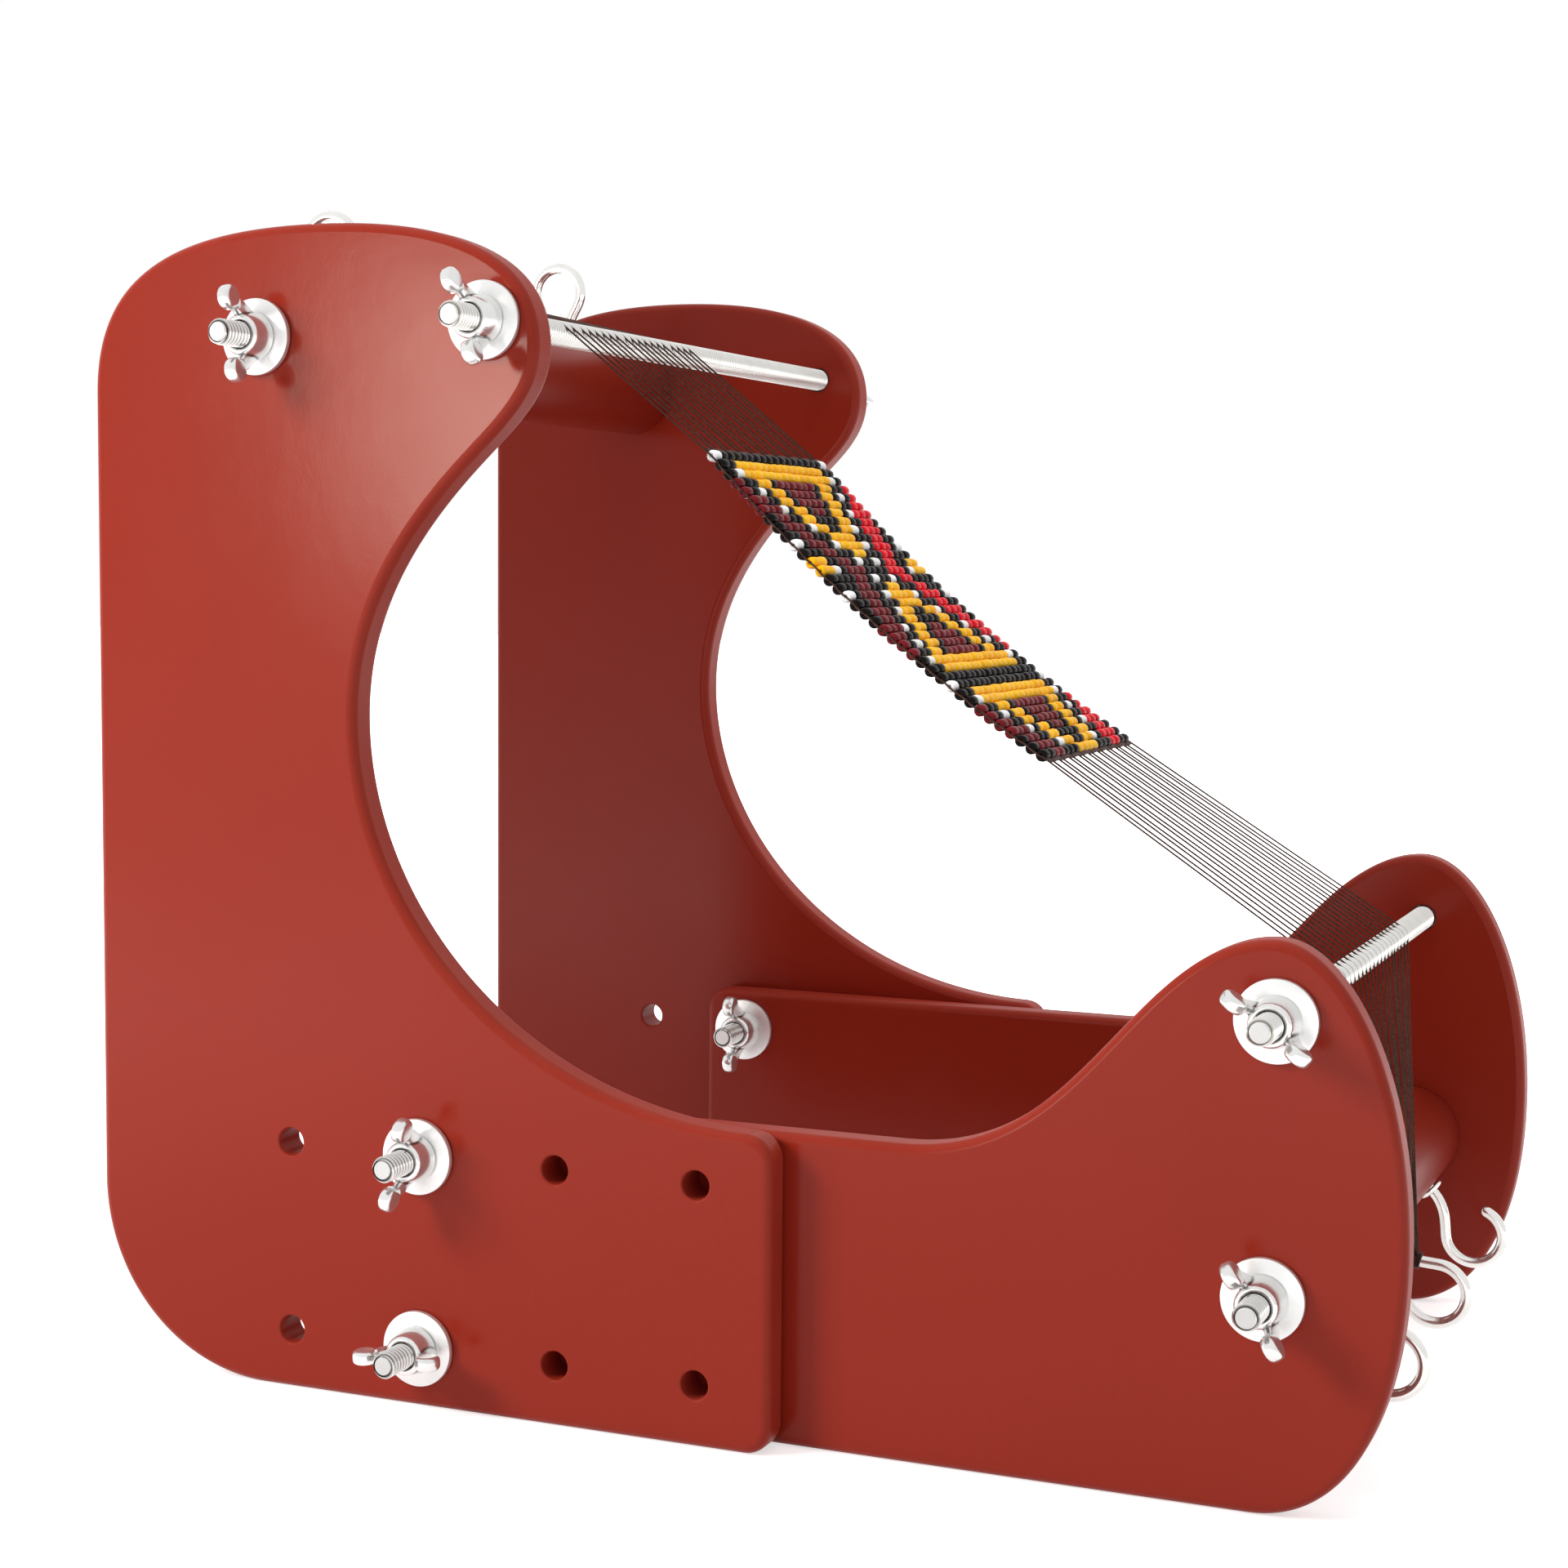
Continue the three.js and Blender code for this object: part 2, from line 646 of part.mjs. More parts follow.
// On the left the bolts' wing nuts are outside, on the right they are inside
const jointEnds = [
  ["lower_joint", rows[0], 2, 60],
  ["upper_joint", rows[1], 78, 90],
];
for (const [name, z, leftAngle, rightAngle] of jointEnds)
  loom.add(
    jointBolt("left_" + name + "_bolt", z, -frontInner, -1),
    fastener("left_" + name, { x: boltX, z }, -rearOuter, -1, leftAngle),
    jointBolt("right_" + name + "_bolt", z, rearOuter, -1),
    fastener("right_" + name, { x: boltX, z }, frontInner, -1, rightAngle),
  );

const rearReach = rearBar.x - backMargin;
const ringHeight = barDiameter / 2 + seat + frontHookNeck;
const ringX = frontBar.x + ringHeight * Math.sin(frontHookLean * degrees);
const frontReach = Math.max(frontBar.x + frontMargin, ringX + hookRing + hookWire / 2);
loom.position.x = -(rearReach + frontReach) / 2;

export default loom;
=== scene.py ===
"""Bead loom: brick-red side panels bolted together, hook bars, threaded rods, wing nuts and beadwork.

Sizes are in millimetres until a mesh is made. The camera and the lamps are placed in metres. +X runs from
the tall rear to the low front, +Y to the beader's right and +Z up. The origin is under the loom's middle.
"""

import json
import math
import random

import bmesh
import bpy
import numpy as np
from mathutils import Matrix, Quaternion, Vector
from mathutils.geometry import tessellate_polygon

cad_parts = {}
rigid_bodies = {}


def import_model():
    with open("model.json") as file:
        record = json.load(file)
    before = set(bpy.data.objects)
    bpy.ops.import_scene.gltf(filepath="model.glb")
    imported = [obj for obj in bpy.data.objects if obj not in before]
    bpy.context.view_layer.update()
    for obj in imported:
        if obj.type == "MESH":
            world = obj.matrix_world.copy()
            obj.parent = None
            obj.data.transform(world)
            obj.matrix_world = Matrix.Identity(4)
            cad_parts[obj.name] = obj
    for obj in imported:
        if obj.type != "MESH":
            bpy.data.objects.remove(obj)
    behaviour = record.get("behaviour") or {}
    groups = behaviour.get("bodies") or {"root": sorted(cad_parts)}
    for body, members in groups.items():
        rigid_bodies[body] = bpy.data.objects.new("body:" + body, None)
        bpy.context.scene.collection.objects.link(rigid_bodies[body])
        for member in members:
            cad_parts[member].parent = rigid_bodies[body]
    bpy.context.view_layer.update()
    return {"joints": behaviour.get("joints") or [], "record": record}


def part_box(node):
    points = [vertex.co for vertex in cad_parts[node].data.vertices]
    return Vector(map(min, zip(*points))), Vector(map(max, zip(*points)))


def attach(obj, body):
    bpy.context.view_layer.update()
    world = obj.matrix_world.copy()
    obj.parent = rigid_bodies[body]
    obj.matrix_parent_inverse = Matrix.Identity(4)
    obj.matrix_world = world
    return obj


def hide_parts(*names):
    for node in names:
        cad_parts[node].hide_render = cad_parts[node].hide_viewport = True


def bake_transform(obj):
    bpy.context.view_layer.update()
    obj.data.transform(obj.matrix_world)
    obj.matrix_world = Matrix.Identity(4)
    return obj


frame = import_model()

MM = 0.001
# Room that the CAD leaves where real pieces touch
SEAT = 0.3

# The photograph's viewpoint: place in metres, heading left of +Y, tilt down and roll in degrees
CAMERA_PLACE = (0.2565, -0.6614, 0.2067)
CAMERA_HEADING = 22.78
CAMERA_TILT = 4.706
CAMERA_ROLL = 0.53
CAMERA_LENS = 60.94
SENSOR_WIDTH = 36.0

# Side panels
SHEET = 9.5
EDGE_ROUND = 2.4
EDGE_STEPS = 5
TAB_CORNER = 6.5
COLUMN_PITCH = 36.9
HOLE_DIAMETER = 7.0
HOLE_EDGE = 0.55
HOLE_SIDES = 40
# How much lighter a hole's rim is painted: partly rubbed wear, partly a painted highlight
HOLE_WEAR_AND_HIGHLIGHT = 0.9

# Hook bars and hooks
BAR_DIAMETER = 26.7
BAR_CHAMFER = 0.9
HOOK_PITCH = 63.5
HOOK_WIRE = 2.9
HOOK_RING = 7.5
REAR_NECK = 14.8
FRONT_NECK = 16.8
RING_FROM = 215
RING_TO = -20
NECK_STEPS = 14
RING_STEPS = 48
HOOK_SHANK = 8.0
COLLAR_DIAMETER = 7.2
COLLAR_HEIGHT = 1.3
REAR_LEAN = -16
FRONT_LEAN = 134.5
TIE_SHARE = 0.5
TIE_LENGTH = 1.6
TIE_TURNS = 3
TIE_LAYERS = 2
TIE_STEPS = 16

# Quarter-inch hardware
ROD_RADIUS = 6.35 / 2
THREAD_PITCH = 1.27
THREAD_DEPTH = 0.62
THREAD_INSET = 0.25
THREAD_SIDES = 28
THREAD_SHARP = 32
THREAD_MERGE = 1e-7
ROOT_RADIUS = ROD_RADIUS - THREAD_DEPTH
CORE_RADIUS = ROOT_RADIUS + 0.02
PLAIN_RADIUS = ROD_RADIUS - 0.1
ROD_CHAMFER = 0.5
# One turn of thread: shares of the pitch with the radius there
THREAD_PROFILE = ((0.0, ROOT_RADIUS), (0.38, ROD_RADIUS), (0.5, ROD_RADIUS), (0.88, ROOT_RADIUS))
# Middle of the groove between two turns, as a share of the pitch
GROOVE_SHARE = 0.44
# How fast a thread rises to its full height at its ends, and how near a root a point is to count as one
THREAD_RISE = 1.1
ROOT_NEARNESS = 0.03
# Thread that shows at each end of a hook bar's rod
END_THREAD = 30
WASHER_DIAMETER = 18.65
WASHER_THICKNESS = 1.6
WASHER_EDGE = 0.28
NUT_BASE = 11.8
NUT_TOP = 9.4
NUT_HEIGHT = 6.4
WING_SPAN = 23.6
WING_HEIGHT = 12.2
WING_THICKNESS = 3.4
PADDLE_RADIUS = 3.1
ARM_SIDES = 16
ARM_STEPS = 10
ARM_HEIGHT = 3.1
ARM_INSET = 1.5
NUT_VOXEL = 0.00021
# How sharply a nut's surface turns inwards, per metre, where its painted shade starts, then over what range
# it grows
HOLLOW_START = 20
HOLLOW_RANGE = 170
HOLLOW_MOST = 0.8
BOLT_HEAD = 14.4
BOLT_HEAD_HEIGHT = 3.8
BOLT_NECK = 20.0

# Warp and beadwork
WARP_RADIUS = 0.25
WARP_SIDES = 6
WARP_THREADS = 19
BEAD_ROWS = 37
BEAD_COLUMNS = WARP_THREADS - 1
BEAD_PITCH = 3.04
STRIP_LENGTH = BEAD_ROWS * BEAD_PITCH
COLUMN_WIDTH = 4.0
BEAD_SIDES = 12
# How far beads stray: a whole row sideways, then each bead by place, by angle in radians and by size
ROW_DRIFT = 0.10
STRAY_ALONG = 0.07
STRAY_ACROSS = 0.06
STRAY_UP = 0.12
BEAD_TILT = 0.06
BEAD_TURN = 0.07
BEAD_SPIN = 0.5
BEAD_SIZES = (0.965, 1.02)
SAG_ABOVE = 0.6
SAG_BELOW = 1.6
STRIP_BOW = 3.6
PATTERN_ROWS = 27
TRIANGLE_ROWS = 11
TRIANGLE_REACH = 6.6
UPPER_WARP = 50.3
STRIP_MIDDLE = -36.5
FAN_MIDDLE = 3.0
FAN_WIDTH = 90.0
# How far threads rise and dip, where the headings lie, and how far the weft's turns reach out
WARP_WEAVE = 0.12
HEADING_WEAVE = 0.2
HEADING_PITCH = 0.35
HEADING_GAP = 0.4
TURN_REACH = 0.35
TURN_STEPS = 8
ARC_STEPS = 8
TAIL_STEPS = 24
# How far the tails spread on their hook, along X, Y and Z
TAIL_SPREAD = (0.4, 1.2, 0.4)

# Light
AMBIENT = 0.42
# Each lamp's place, the point that it faces, its width and height in metres, and its power in watts
LAMPS = {
    "key": ((-0.70, -0.74, 0.62), (-0.03, -0.1, 0.14), 0.36, 0.36, 6.8),
    "window": ((-0.676, -1.21, 0.319), (-0.055, -0.108, 0.244), 0.15, 0.21, 2.8),
    "strip": ((0.3, -0.6, 0.9), (-0.04, -0.036, 0.22), 0.3, 0.3, 3.6),
    "top": ((0.1, 0.0, 1.7), (0, 0, 0.1), 1.2, 1.2, 6.5),
    "back": ((0.5, 1.5, 0.9), (0, 0.1, 0.12), 0.8, 0.8, 7),
}
WINDOW_COLOUR = (1.0, 0.92, 0.80)
# Pieces in the shade in the photograph
SHADED = ("right_rear_side", "right_front_side", "rear_round_bar")
# Half the floor's width, and its glow near the loom and further off, with the distances in metres
FLOOR_REACH = 6000
FLOOR_GLOW = (0.62, 1.6)
GLOW_DISTANCES = (0.28, 0.7)

bodies = frame["record"]["behaviour"]["bodies"]
body_of = {node: body for body, nodes in bodies.items() for node in nodes}


def middle(node):
    """Middle of a node's box, in millimetres."""
    low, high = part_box(node)
    return (low + high) / 2 / MM


rear_bar = middle("rear_bar_rod")
upper_spacer = middle("upper_spacer_rod")
lower_spacer = middle("lower_spacer_rod")
front_bar = middle("front_bar_rod")
low_bolt = middle("left_lower_joint_bolt")
high_bolt = middle("left_upper_joint_bolt")

# Each bar's hooks: the bar's place, their necks' length, their lean, and which of them open the other way
HOOKS = {
    "rear": (rear_bar, REAR_NECK, REAR_LEAN, (True, True, True)),
    "front": (front_bar, FRONT_NECK, FRONT_LEAN, (False, False, True)),
}


# Meshes

def add_share(mesh, share, values):
    """A number for each point of a mesh."""
    attribute = mesh.attributes.new(share, "FLOAT", "POINT")
    attribute.data.foreach_set("value", np.array(values, np.float32))


def in_scene(name, data):
    """A new object in the scene."""
    made = bpy.data.objects.new(name, data)
    bpy.context.scene.collection.objects.link(made)
    return made


def new_object(name, part, smooth_angle=35, merge=0, **shares):
    """A smoothed mesh object from a part's points and faces, with the faces turned outwards. Points nearer
    than merge, in metres, become one. Each share is a number for each point, which the materials read."""
    verts, faces = part
    mesh = bpy.data.meshes.new(name)
    mesh.from_pydata([tuple(float(x) * MM for x in v) for v in verts], [], faces)
    for share, values in shares.items():
        add_share(mesh, share, values)
    work = bmesh.new()
    work.from_mesh(mesh)
    if merge:
        bmesh.ops.remove_doubles(work, verts=work.verts, dist=merge)
        bmesh.ops.dissolve_degenerate(work, edges=work.edges, dist=merge)
    bmesh.ops.recalc_face_normals(work, faces=work.faces)
    work.to_mesh(mesh)
    work.free()
    mesh.shade_smooth()
    if smooth_angle:
        mesh.set_sharp_from_angle(angle=math.radians(smooth_angle))
    return in_scene(name, mesh)


def circle(count):
    """Angles of evenly spaced points round a circle."""
    return [2 * math.pi * k / count for k in range(count)]


def grid_faces(rows, columns, wrap_rows=False):
    """Quads over rings of points numbered ring by ring."""
    faces = []
    for r in range(rows if wrap_rows else rows - 1):
        for c in range(columns):
            a = r * columns + c
            b = r * columns + (c + 1) % columns
            up = (r + 1) % rows * columns
            faces.append((a, b, up + (c + 1) % columns, up + c))
    return faces


def capped(rows, columns):
    """Quads over rings of points, with a cap on the first ring and one on the last."""
    last = (rows - 1) * columns
    return grid_faces(rows, columns) + [tuple(range(columns)), tuple(range(last, last + columns))]


def lathe(profile, sides, closed=False):
    """Points and faces of a turned piece about Z from (radius, height) pairs. An open profile gets caps."""
    verts = [(r * math.cos(a), r * math.sin(a), h) for r, h in profile for a in circle(sides)]
    if closed:
        return verts, grid_faces(len(profile), sides, wrap_rows=True)
    return verts, capped(len(profile), sides)


END_ANGLES = (0.45, 0.9, 1.3)


def tube(points, radius, sides):
    """Points and faces of a tube along a path, with ends rounded off."""
    path = [Vector(p) for p in points]
    tangents = []
    for i in range(len(path)):
        tangents.append((path[min(i + 1, len(path) - 1)] - path[max(i - 1, 0)]).normalized())
    side = tangents[0].orthogonal().normalized()
    rings = []
    for p, t in zip(path, tangents):
        side = (side - t * side.dot(t)).normalized()
        rings.append((p, t, side, radius))
    p, t, s, _ = rings[0]
    head = [(p - t * radius * math.sin(a), t, s, radius * math.cos(a)) for a in reversed(END_ANGLES)]
    p, t, s, _ = rings[-1]
    tail = [(p + t * radius * math.sin(a), t, s, radius * math.cos(a)) for a in END_ANGLES]
    rings = head + rings + tail
    verts = []
    for p, t, s, r in rings:
        other = t.cross(s)
        verts += [p + s * (r * math.cos(a)) + other * (r * math.sin(a)) for a in circle(sides)]
    return verts, capped(len(rings), sides)


def mirror(profile):
    """A profile's mirror image in height, in the order that goes on from it."""
    return [(r, -h) for r, h in reversed(profile)]


def placed(part, matrix):
    """The points and faces of a part, its points moved by a matrix in millimetres."""
    verts, faces = part
    return [matrix @ Vector(v) for v in verts], faces


def together(parts):
    """Several parts' points and faces as one."""
    verts, faces = [], []
    for part_verts, part_faces in parts:
        start = len(verts)
        verts.extend(part_verts)
        faces.extend(tuple(start + i for i in face) for face in part_faces)
    return verts, faces


def bezier(a, b, c, d, t):
    """The point at share t of a curve from a to d that b and c pull."""
    return (1 - t) ** 3 * a + 3 * t * (1 - t) ** 2 * b + 3 * t * t * (1 - t) * c + t**3 * d


def along_y(x, y, z, outward=1):
    """A matrix that lays a turned piece's Z along Y, its foot at y, pointing outward."""
    return Matrix.Translation((x, y, z)) @ Matrix.Rotation(-outward * math.pi / 2, 4, "X")


# Materials

RED = (0.35, 0.027, 0.0125, 1.0)
# Edges are painted towards this lighter red: partly rubbed wear, partly a painted highlight
RUBBED_RED_AND_HIGHLIGHT = (0.50, 0.09, 0.06, 1.0)
# Painted shade: dark colours laid into thread roots and nut hollows, with the paler one on the spacer rods
PAINTED_SHADE = (0.075, 0.068, 0.058, 1.0)
PALE_PAINTED_SHADE = (0.34, 0.32, 0.28, 1.0)
THREAD_DARK = (0.045, 0.020, 0.015, 1)
THREAD_PALE = (0.11, 0.055, 0.042, 1)
FLOOR_GREY = (0.86, 0.86, 0.86, 1)
WHITE = (1, 1, 1, 1)
PLASTIC_SPECULAR = 0.14
THREAD_SPECULAR = 0.08
BEAD_ROUGHNESS = 0.26


def new_material(name):
    """A material with its shader and the piece's own coordinates."""
    made = bpy.data.materials.new(name)
    made.use_nodes = True
    tree = made.node_tree
    return made, tree.nodes["Principled BSDF"], add(tree, "ShaderNodeTexCoord").outputs["Object"]


def feed(sockets, values):
    """Sets sockets to numbers or colours, or links outputs to them."""
    for socket, value in zip(sockets, values):
        if isinstance(value, bpy.types.NodeSocket):
            socket.id_data.links.new(value, socket)
        else:
            socket.default_value = value


def wire(node, **inputs):
    """Feeds a node's inputs. An underscore in an input's name stands for a space."""
    feed([node.inputs[key.replace("_", " ")] for key in inputs], inputs.values())
    return node


def add(tree, kind, settings=None, **inputs):
    """A new node."""
    made = tree.nodes.new(kind)
    for key, value in (settings or {}).items():
        setattr(made, key, value)
    return wire(made, **inputs)


def noise(coordinates, scale, detail=2.0):
    """A noise texture over the piece's own coordinates, in cycles per metre."""
    made = add(coordinates.id_data, "ShaderNodeTexNoise", Vector=coordinates, Scale=scale, Detail=detail)
    return made.outputs["Fac"]


def calculated(operation, *values):
    """The result of a Math node on an output and other outputs or numbers."""
    made = add(values[0].id_data, "ShaderNodeMath", {"operation": operation})
    feed(made.inputs, values)
    return made.outputs[0]


def own(shader, share):
    """A piece's own number, under the name that its mesh gives it, for a shader."""
    return add(shader.id_data, "ShaderNodeAttribute", {"attribute_name": share}).outputs["Fac"]


def ranged(value, low, high, from_low=0.3, from_high=0.7):
    """An output's range spread over another. Noise lies mostly in the range that it has by default."""
    made = add(value.id_data, "ShaderNodeMapRange", Value=value, From_Min=from_low, From_Max=from_high)
    return wire(made, To_Min=low, To_Max=high).outputs["Result"]


def mixed(factor, a, b):
    """A mix of a and b, which are colours or outputs, by an output."""
    made = add(factor.id_data, "ShaderNodeMix", {"data_type": "RGBA"})
    feed((made.inputs[0], made.inputs[6], made.inputs[7]), (factor, a, b))
    return made.outputs[2]


def bumped(shader, height, strength, distance, below=None):
    """Gives the shader a relief, over another one where there is one below."""
    made = add(shader.id_data, "ShaderNodeBump", Strength=strength, Distance=distance, Height=height)
    if below is not None:
        wire(made, Normal=below)
    wire(shader, Normal=made.outputs["Normal"])
    return made.outputs["Normal"]


def shade(colour, factor):
    """A colour made darker or lighter."""
    return (*(min(1.0, c * factor) for c in colour[:3]), 1.0)


def plastic(name, colour, roughness, edge_wear_and_highlight):
    """Satin moulded sheet: cloudy tone, fine skin, handling marks, and edges painted a little lighter,
    partly as rubbed wear and partly as a painted highlight.
    """
    made, shader, coordinates = new_material(name)
    cloud = noise(coordinates, 9.0, 3.0)
    grain = noise(coordinates, 1400.0)
    marks = noise(coordinates, 30.0, 5.0)
    tone = mixed(ranged(cloud, 0.0, 1.0), shade(colour, 0.975), shade(colour, 1.025))
    tone = mixed(ranged(grain, 0.0, 0.06), tone, shade(colour, 1.5))
    rough = ranged(marks, roughness - 0.015, roughness + 0.02)
    if edge_wear_and_highlight:
        # Rims painted lighter: partly rubbed wear, partly a painted highlight
        edge = own(shader, "edge")
        wear_and_highlight = calculated("MULTIPLY", edge, ranged(marks, 0.05, 0.30))
        tone = mixed(wear_and_highlight, tone, RUBBED_RED_AND_HIGHLIGHT)
        rough = calculated("MULTIPLY_ADD", edge, 0.25, rough)
    wire(shader, Base_Color=tone, Roughness=rough, Specular_IOR_Level=PLASTIC_SPECULAR)
    skin = bumped(shader, grain, 0.05, 0.0002)
    bumped(shader, noise(coordinates, 160.0), 0.04, 0.0006, below=skin)
    return made


def metal(name, colour, roughness, metallic, painted_shade_colour=None, sawn=False, scale=900.0):
    """Bright plated metal with fine marks and a few dull spots. A piece that is given a shade colour has
    painted shade in its thread roots and hollows, and a sawn one has pale ends."""
    made, shader, coordinates = new_material(name)
    marks = noise(coordinates, scale, 3.0)
    spots = noise(coordinates, 140.0, 3.0)
    tone = mixed(ranged(spots, 0.0, 1.0), shade(colour, 0.92), shade(colour, 1.03))
    wire(shader, Metallic=metallic)
    if painted_shade_colour:
        groove = own(shader, "groove")
        # Painted shade: the colour darkens thread roots and nut hollows, where shade falls
        tone = mixed(groove, tone, painted_shade_colour)
        if sawn:
            wire(shader, Metallic=ranged(groove, 0.05, metallic, -1.0, 0.0))
    wire(shader, Base_Color=tone, Roughness=ranged(spots, roughness + 0.08, roughness))
    bumped(shader, marks, 0.05, 0.0001)
    return made


def thread_material():
    """Fine bonded thread: dark brown, with a faint twist."""
    made, shader, coordinates = new_material("warp_thread")
    twist = noise(coordinates, 1600.0)
    tone = mixed(ranged(twist, 0.0, 1.0), THREAD_DARK, THREAD_PALE)
    wire(shader, Base_Color=tone, Roughness=ranged(twist, 0.35, 0.55))
    wire(shader, Specular_IOR_Level=THREAD_SPECULAR)
    bumped(shader, twist, 0.2, 0.0001)
    return made


def bead_material(name, colour, specular):
    """Opaque glass bead: each bead has its own tone, over faint streaks of the drawn glass."""
    made, shader, coordinates = new_material(name)
    streak = noise(coordinates, 900.0)
    tone = mixed(own(shader, "tone"), shade(colour, 0.88), shade(colour, 1.14))
    tone = mixed(ranged(streak, 0.0, 0.2), tone, shade(colour, 1.3))
    rough = ranged(streak, BEAD_ROUGHNESS, BEAD_ROUGHNESS + 0.12)
    wire(shader, Base_Color=tone, Roughness=rough, Specular_IOR_Level=specular)
    bumped(shader, streak, 0.08, 0.0001)
    return made


red_panel = plastic("red_panel", RED, 0.18, edge_wear_and_highlight=True)
red_bar = plastic("red_bar", shade(RED, 0.85), 0.34, edge_wear_and_highlight=False)
zinc_rod = metal("zinc_rod", (0.84, 0.83, 0.81, 1), 0.16, 0.8, painted_shade_colour=PAINTED_SHADE, sawn=True)
zinc_spacer = metal("zinc_spacer", (0.90, 0.89, 0.86, 1), 0.2, 0.75, painted_shade_colour=PALE_PAINTED_SHADE, sawn=True)
zinc_washer = metal("zinc_washer", (0.91, 0.91, 0.90, 1), 0.3, 0.6)
zinc_nut = metal("zinc_nut", (0.86, 0.86, 0.85, 1), 0.14, 0.8, painted_shade_colour=PAINTED_SHADE, scale=500.0)
hook_wire = metal("hook_wire", (0.89, 0.88, 0.85, 1), 0.12, 0.8)
warp_thread = thread_material()
# Each colour of bead, and how strongly its glass shines
BEADS = {
    "black": ((0.007, 0.0045, 0.0045, 1), 0.05),
    "white": ((0.96, 0.95, 0.93, 1), 0.15),
    "yellow": ((1.0, 0.47, 0.008, 1), 0.08),
    "red": ((0.68, 0.005, 0.016, 1), 0.08),
    "maroon": ((0.15, 0.010, 0.014, 1), 0.06),
}
bead_materials = {name: bead_material("bead_" + name, *finish) for name, finish in BEADS.items()}


def dress(piece, nodes, material):
    """The piece stands for its nodes: it rides on their body and has their finish."""
    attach(piece, body_of[nodes[0]])
    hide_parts(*nodes)
    piece.data.materials.clear()
    piece.data.materials.append(material)
    return piece


# Side panels

def bend(a, c, b, pull_a, pull_b, steps):
    """Points on a bend from a to b round the corner c, without b. The pulls draw it into the corner."""
    a, c, b = (np.array(p, float) for p in (a, c, b))
    p1 = a + (c - a) * pull_a
    p2 = b + (c - b) * pull_b
    return [bezier(a, p1, p2, b, k / steps) for k in range(steps)]


def arc(x, z, radius, start, stop, steps):
    """Points on a circle's arc between two angles in degrees, without its last one."""
    points = []
    for k in range(steps):
        a = math.radians(start + (stop - start) * k / steps)
        points.append(np.array((x + radius * math.cos(a), z + radius * math.sin(a))))
    return points


def straight(a, b, steps):
    """Points on a line from a to b, without b."""
    a, b = np.array(a, float), np.array(b, float)
    return [a + (b - a) * k / steps for k in range(steps)]


def rear_outline():
    """Round heel, straight back, crown, nose over the warp, deep throat and a tab with holes."""
    back_x = rear_bar.x - 49.3
    crown = (rear_bar.x + 14.8, rear_bar.z + 27)
    back_top = (back_x, crown[1] - 40)
    nose = (upper_spacer.x + 13.3, upper_spacer.z - 6)
    chin = (nose[0] - 19.3, nose[1] - 28)
    chin_slope = 0.95
    throat = (low_bolt.x - COLUMN_PITCH + 18.5, 168.7)
    tab_x = low_bolt.x + 2 * COLUMN_PITCH + 19
    rail, corner, heel = 75.5, TAB_CORNER, 48
    return (
        arc(back_x + heel, heel, heel, 270, 180, 40)
        + straight((back_x, heel), back_top, 12)
        + bend(back_top, (back_x, crown[1]), crown, 0.69, 0.7, 36)
        + bend(crown, (nose[0], crown[1]), nose, 0.45, 0.85, 40)
        + bend(nose, (nose[0], chin[1] + 19.3 * chin_slope), chin, 1.2, 0.52, 16)
        + bend(chin, (throat[0], chin[1] - (chin[0] - throat[0]) * chin_slope), throat, 0.7, 0.68, 32)
        + bend(throat, (throat[0], rail), (tab_x - 3, rail), 0.5, 0.6, 56)
        + arc(tab_x - corner, rail - corner, corner, 90, 0, 12)
        + straight((tab_x, rail - corner), (tab_x, corner), 4)
        + arc(tab_x - corner, corner, corner, 0, -90, 12)
        + straight((tab_x - corner, 0), (back_x + heel, 0), 8)
    )


def front_outline():
    """Square tail behind the bolts, low rail, and a horn that carries the front cross members."""
    tail_x = low_bolt.x - 13.1
    rail, corner = 74.7, TAB_CORNER
    horn = (lower_spacer.x - 1.2, lower_spacer.z + 17.3)
    shoulder = (horn[0] - 30, horn[1] - 17.8)
    slope = 1.09
    front_x = front_bar.x + 30.7
    widest = (front_x, 60)
    toe = (front_x - 33.5, 0)
    foot = (shoulder[0] - (shoulder[1] - rail) / slope, rail)
    rail_end = (foot[0] - 24.073, rail)
    top = (shoulder[0] + 17.8 / slope, horn[1])
    return (
        arc(tail_x + corner, corner, corner, 270, 180, 12)
        + straight((tail_x, corner), (tail_x, rail - corner), 4)
        + arc(tail_x + corner, rail - corner, corner, 180, 90, 12)
        + straight((tail_x + corner, rail), rail_end, 10)
        + bend(rail_end, foot, shoulder, 1.15, 0.5, 30)
        + bend(shoulder, top, horn, 0.49, 0.87, 20)
        + bend(horn, (front_x, horn[1]), widest, 0.49, 0.59, 40)
        + bend(widest, (front_x, 0), toe, 0.58, 0.66, 36)
        + straight(toe, (tail_x + corner, 0), 12)
    )


def edge_rings(round_radius):
    """Steps round the sheet's edge: inset, Y from the middle, the normal's shares outwards and along Y."""
    half = SHEET / 2
    steps = []
    for side in (-1, 1):
        for k in range(EDGE_STEPS + 1):
            t = math.radians(90 * (EDGE_STEPS - k if side < 0 else k) / EDGE_STEPS)
            y = side * (half - round_radius + round_radius * math.sin(t))
            steps.append((round_radius * (1 - math.cos(t)), y, math.cos(t), side * math.sin(t)))
    return steps


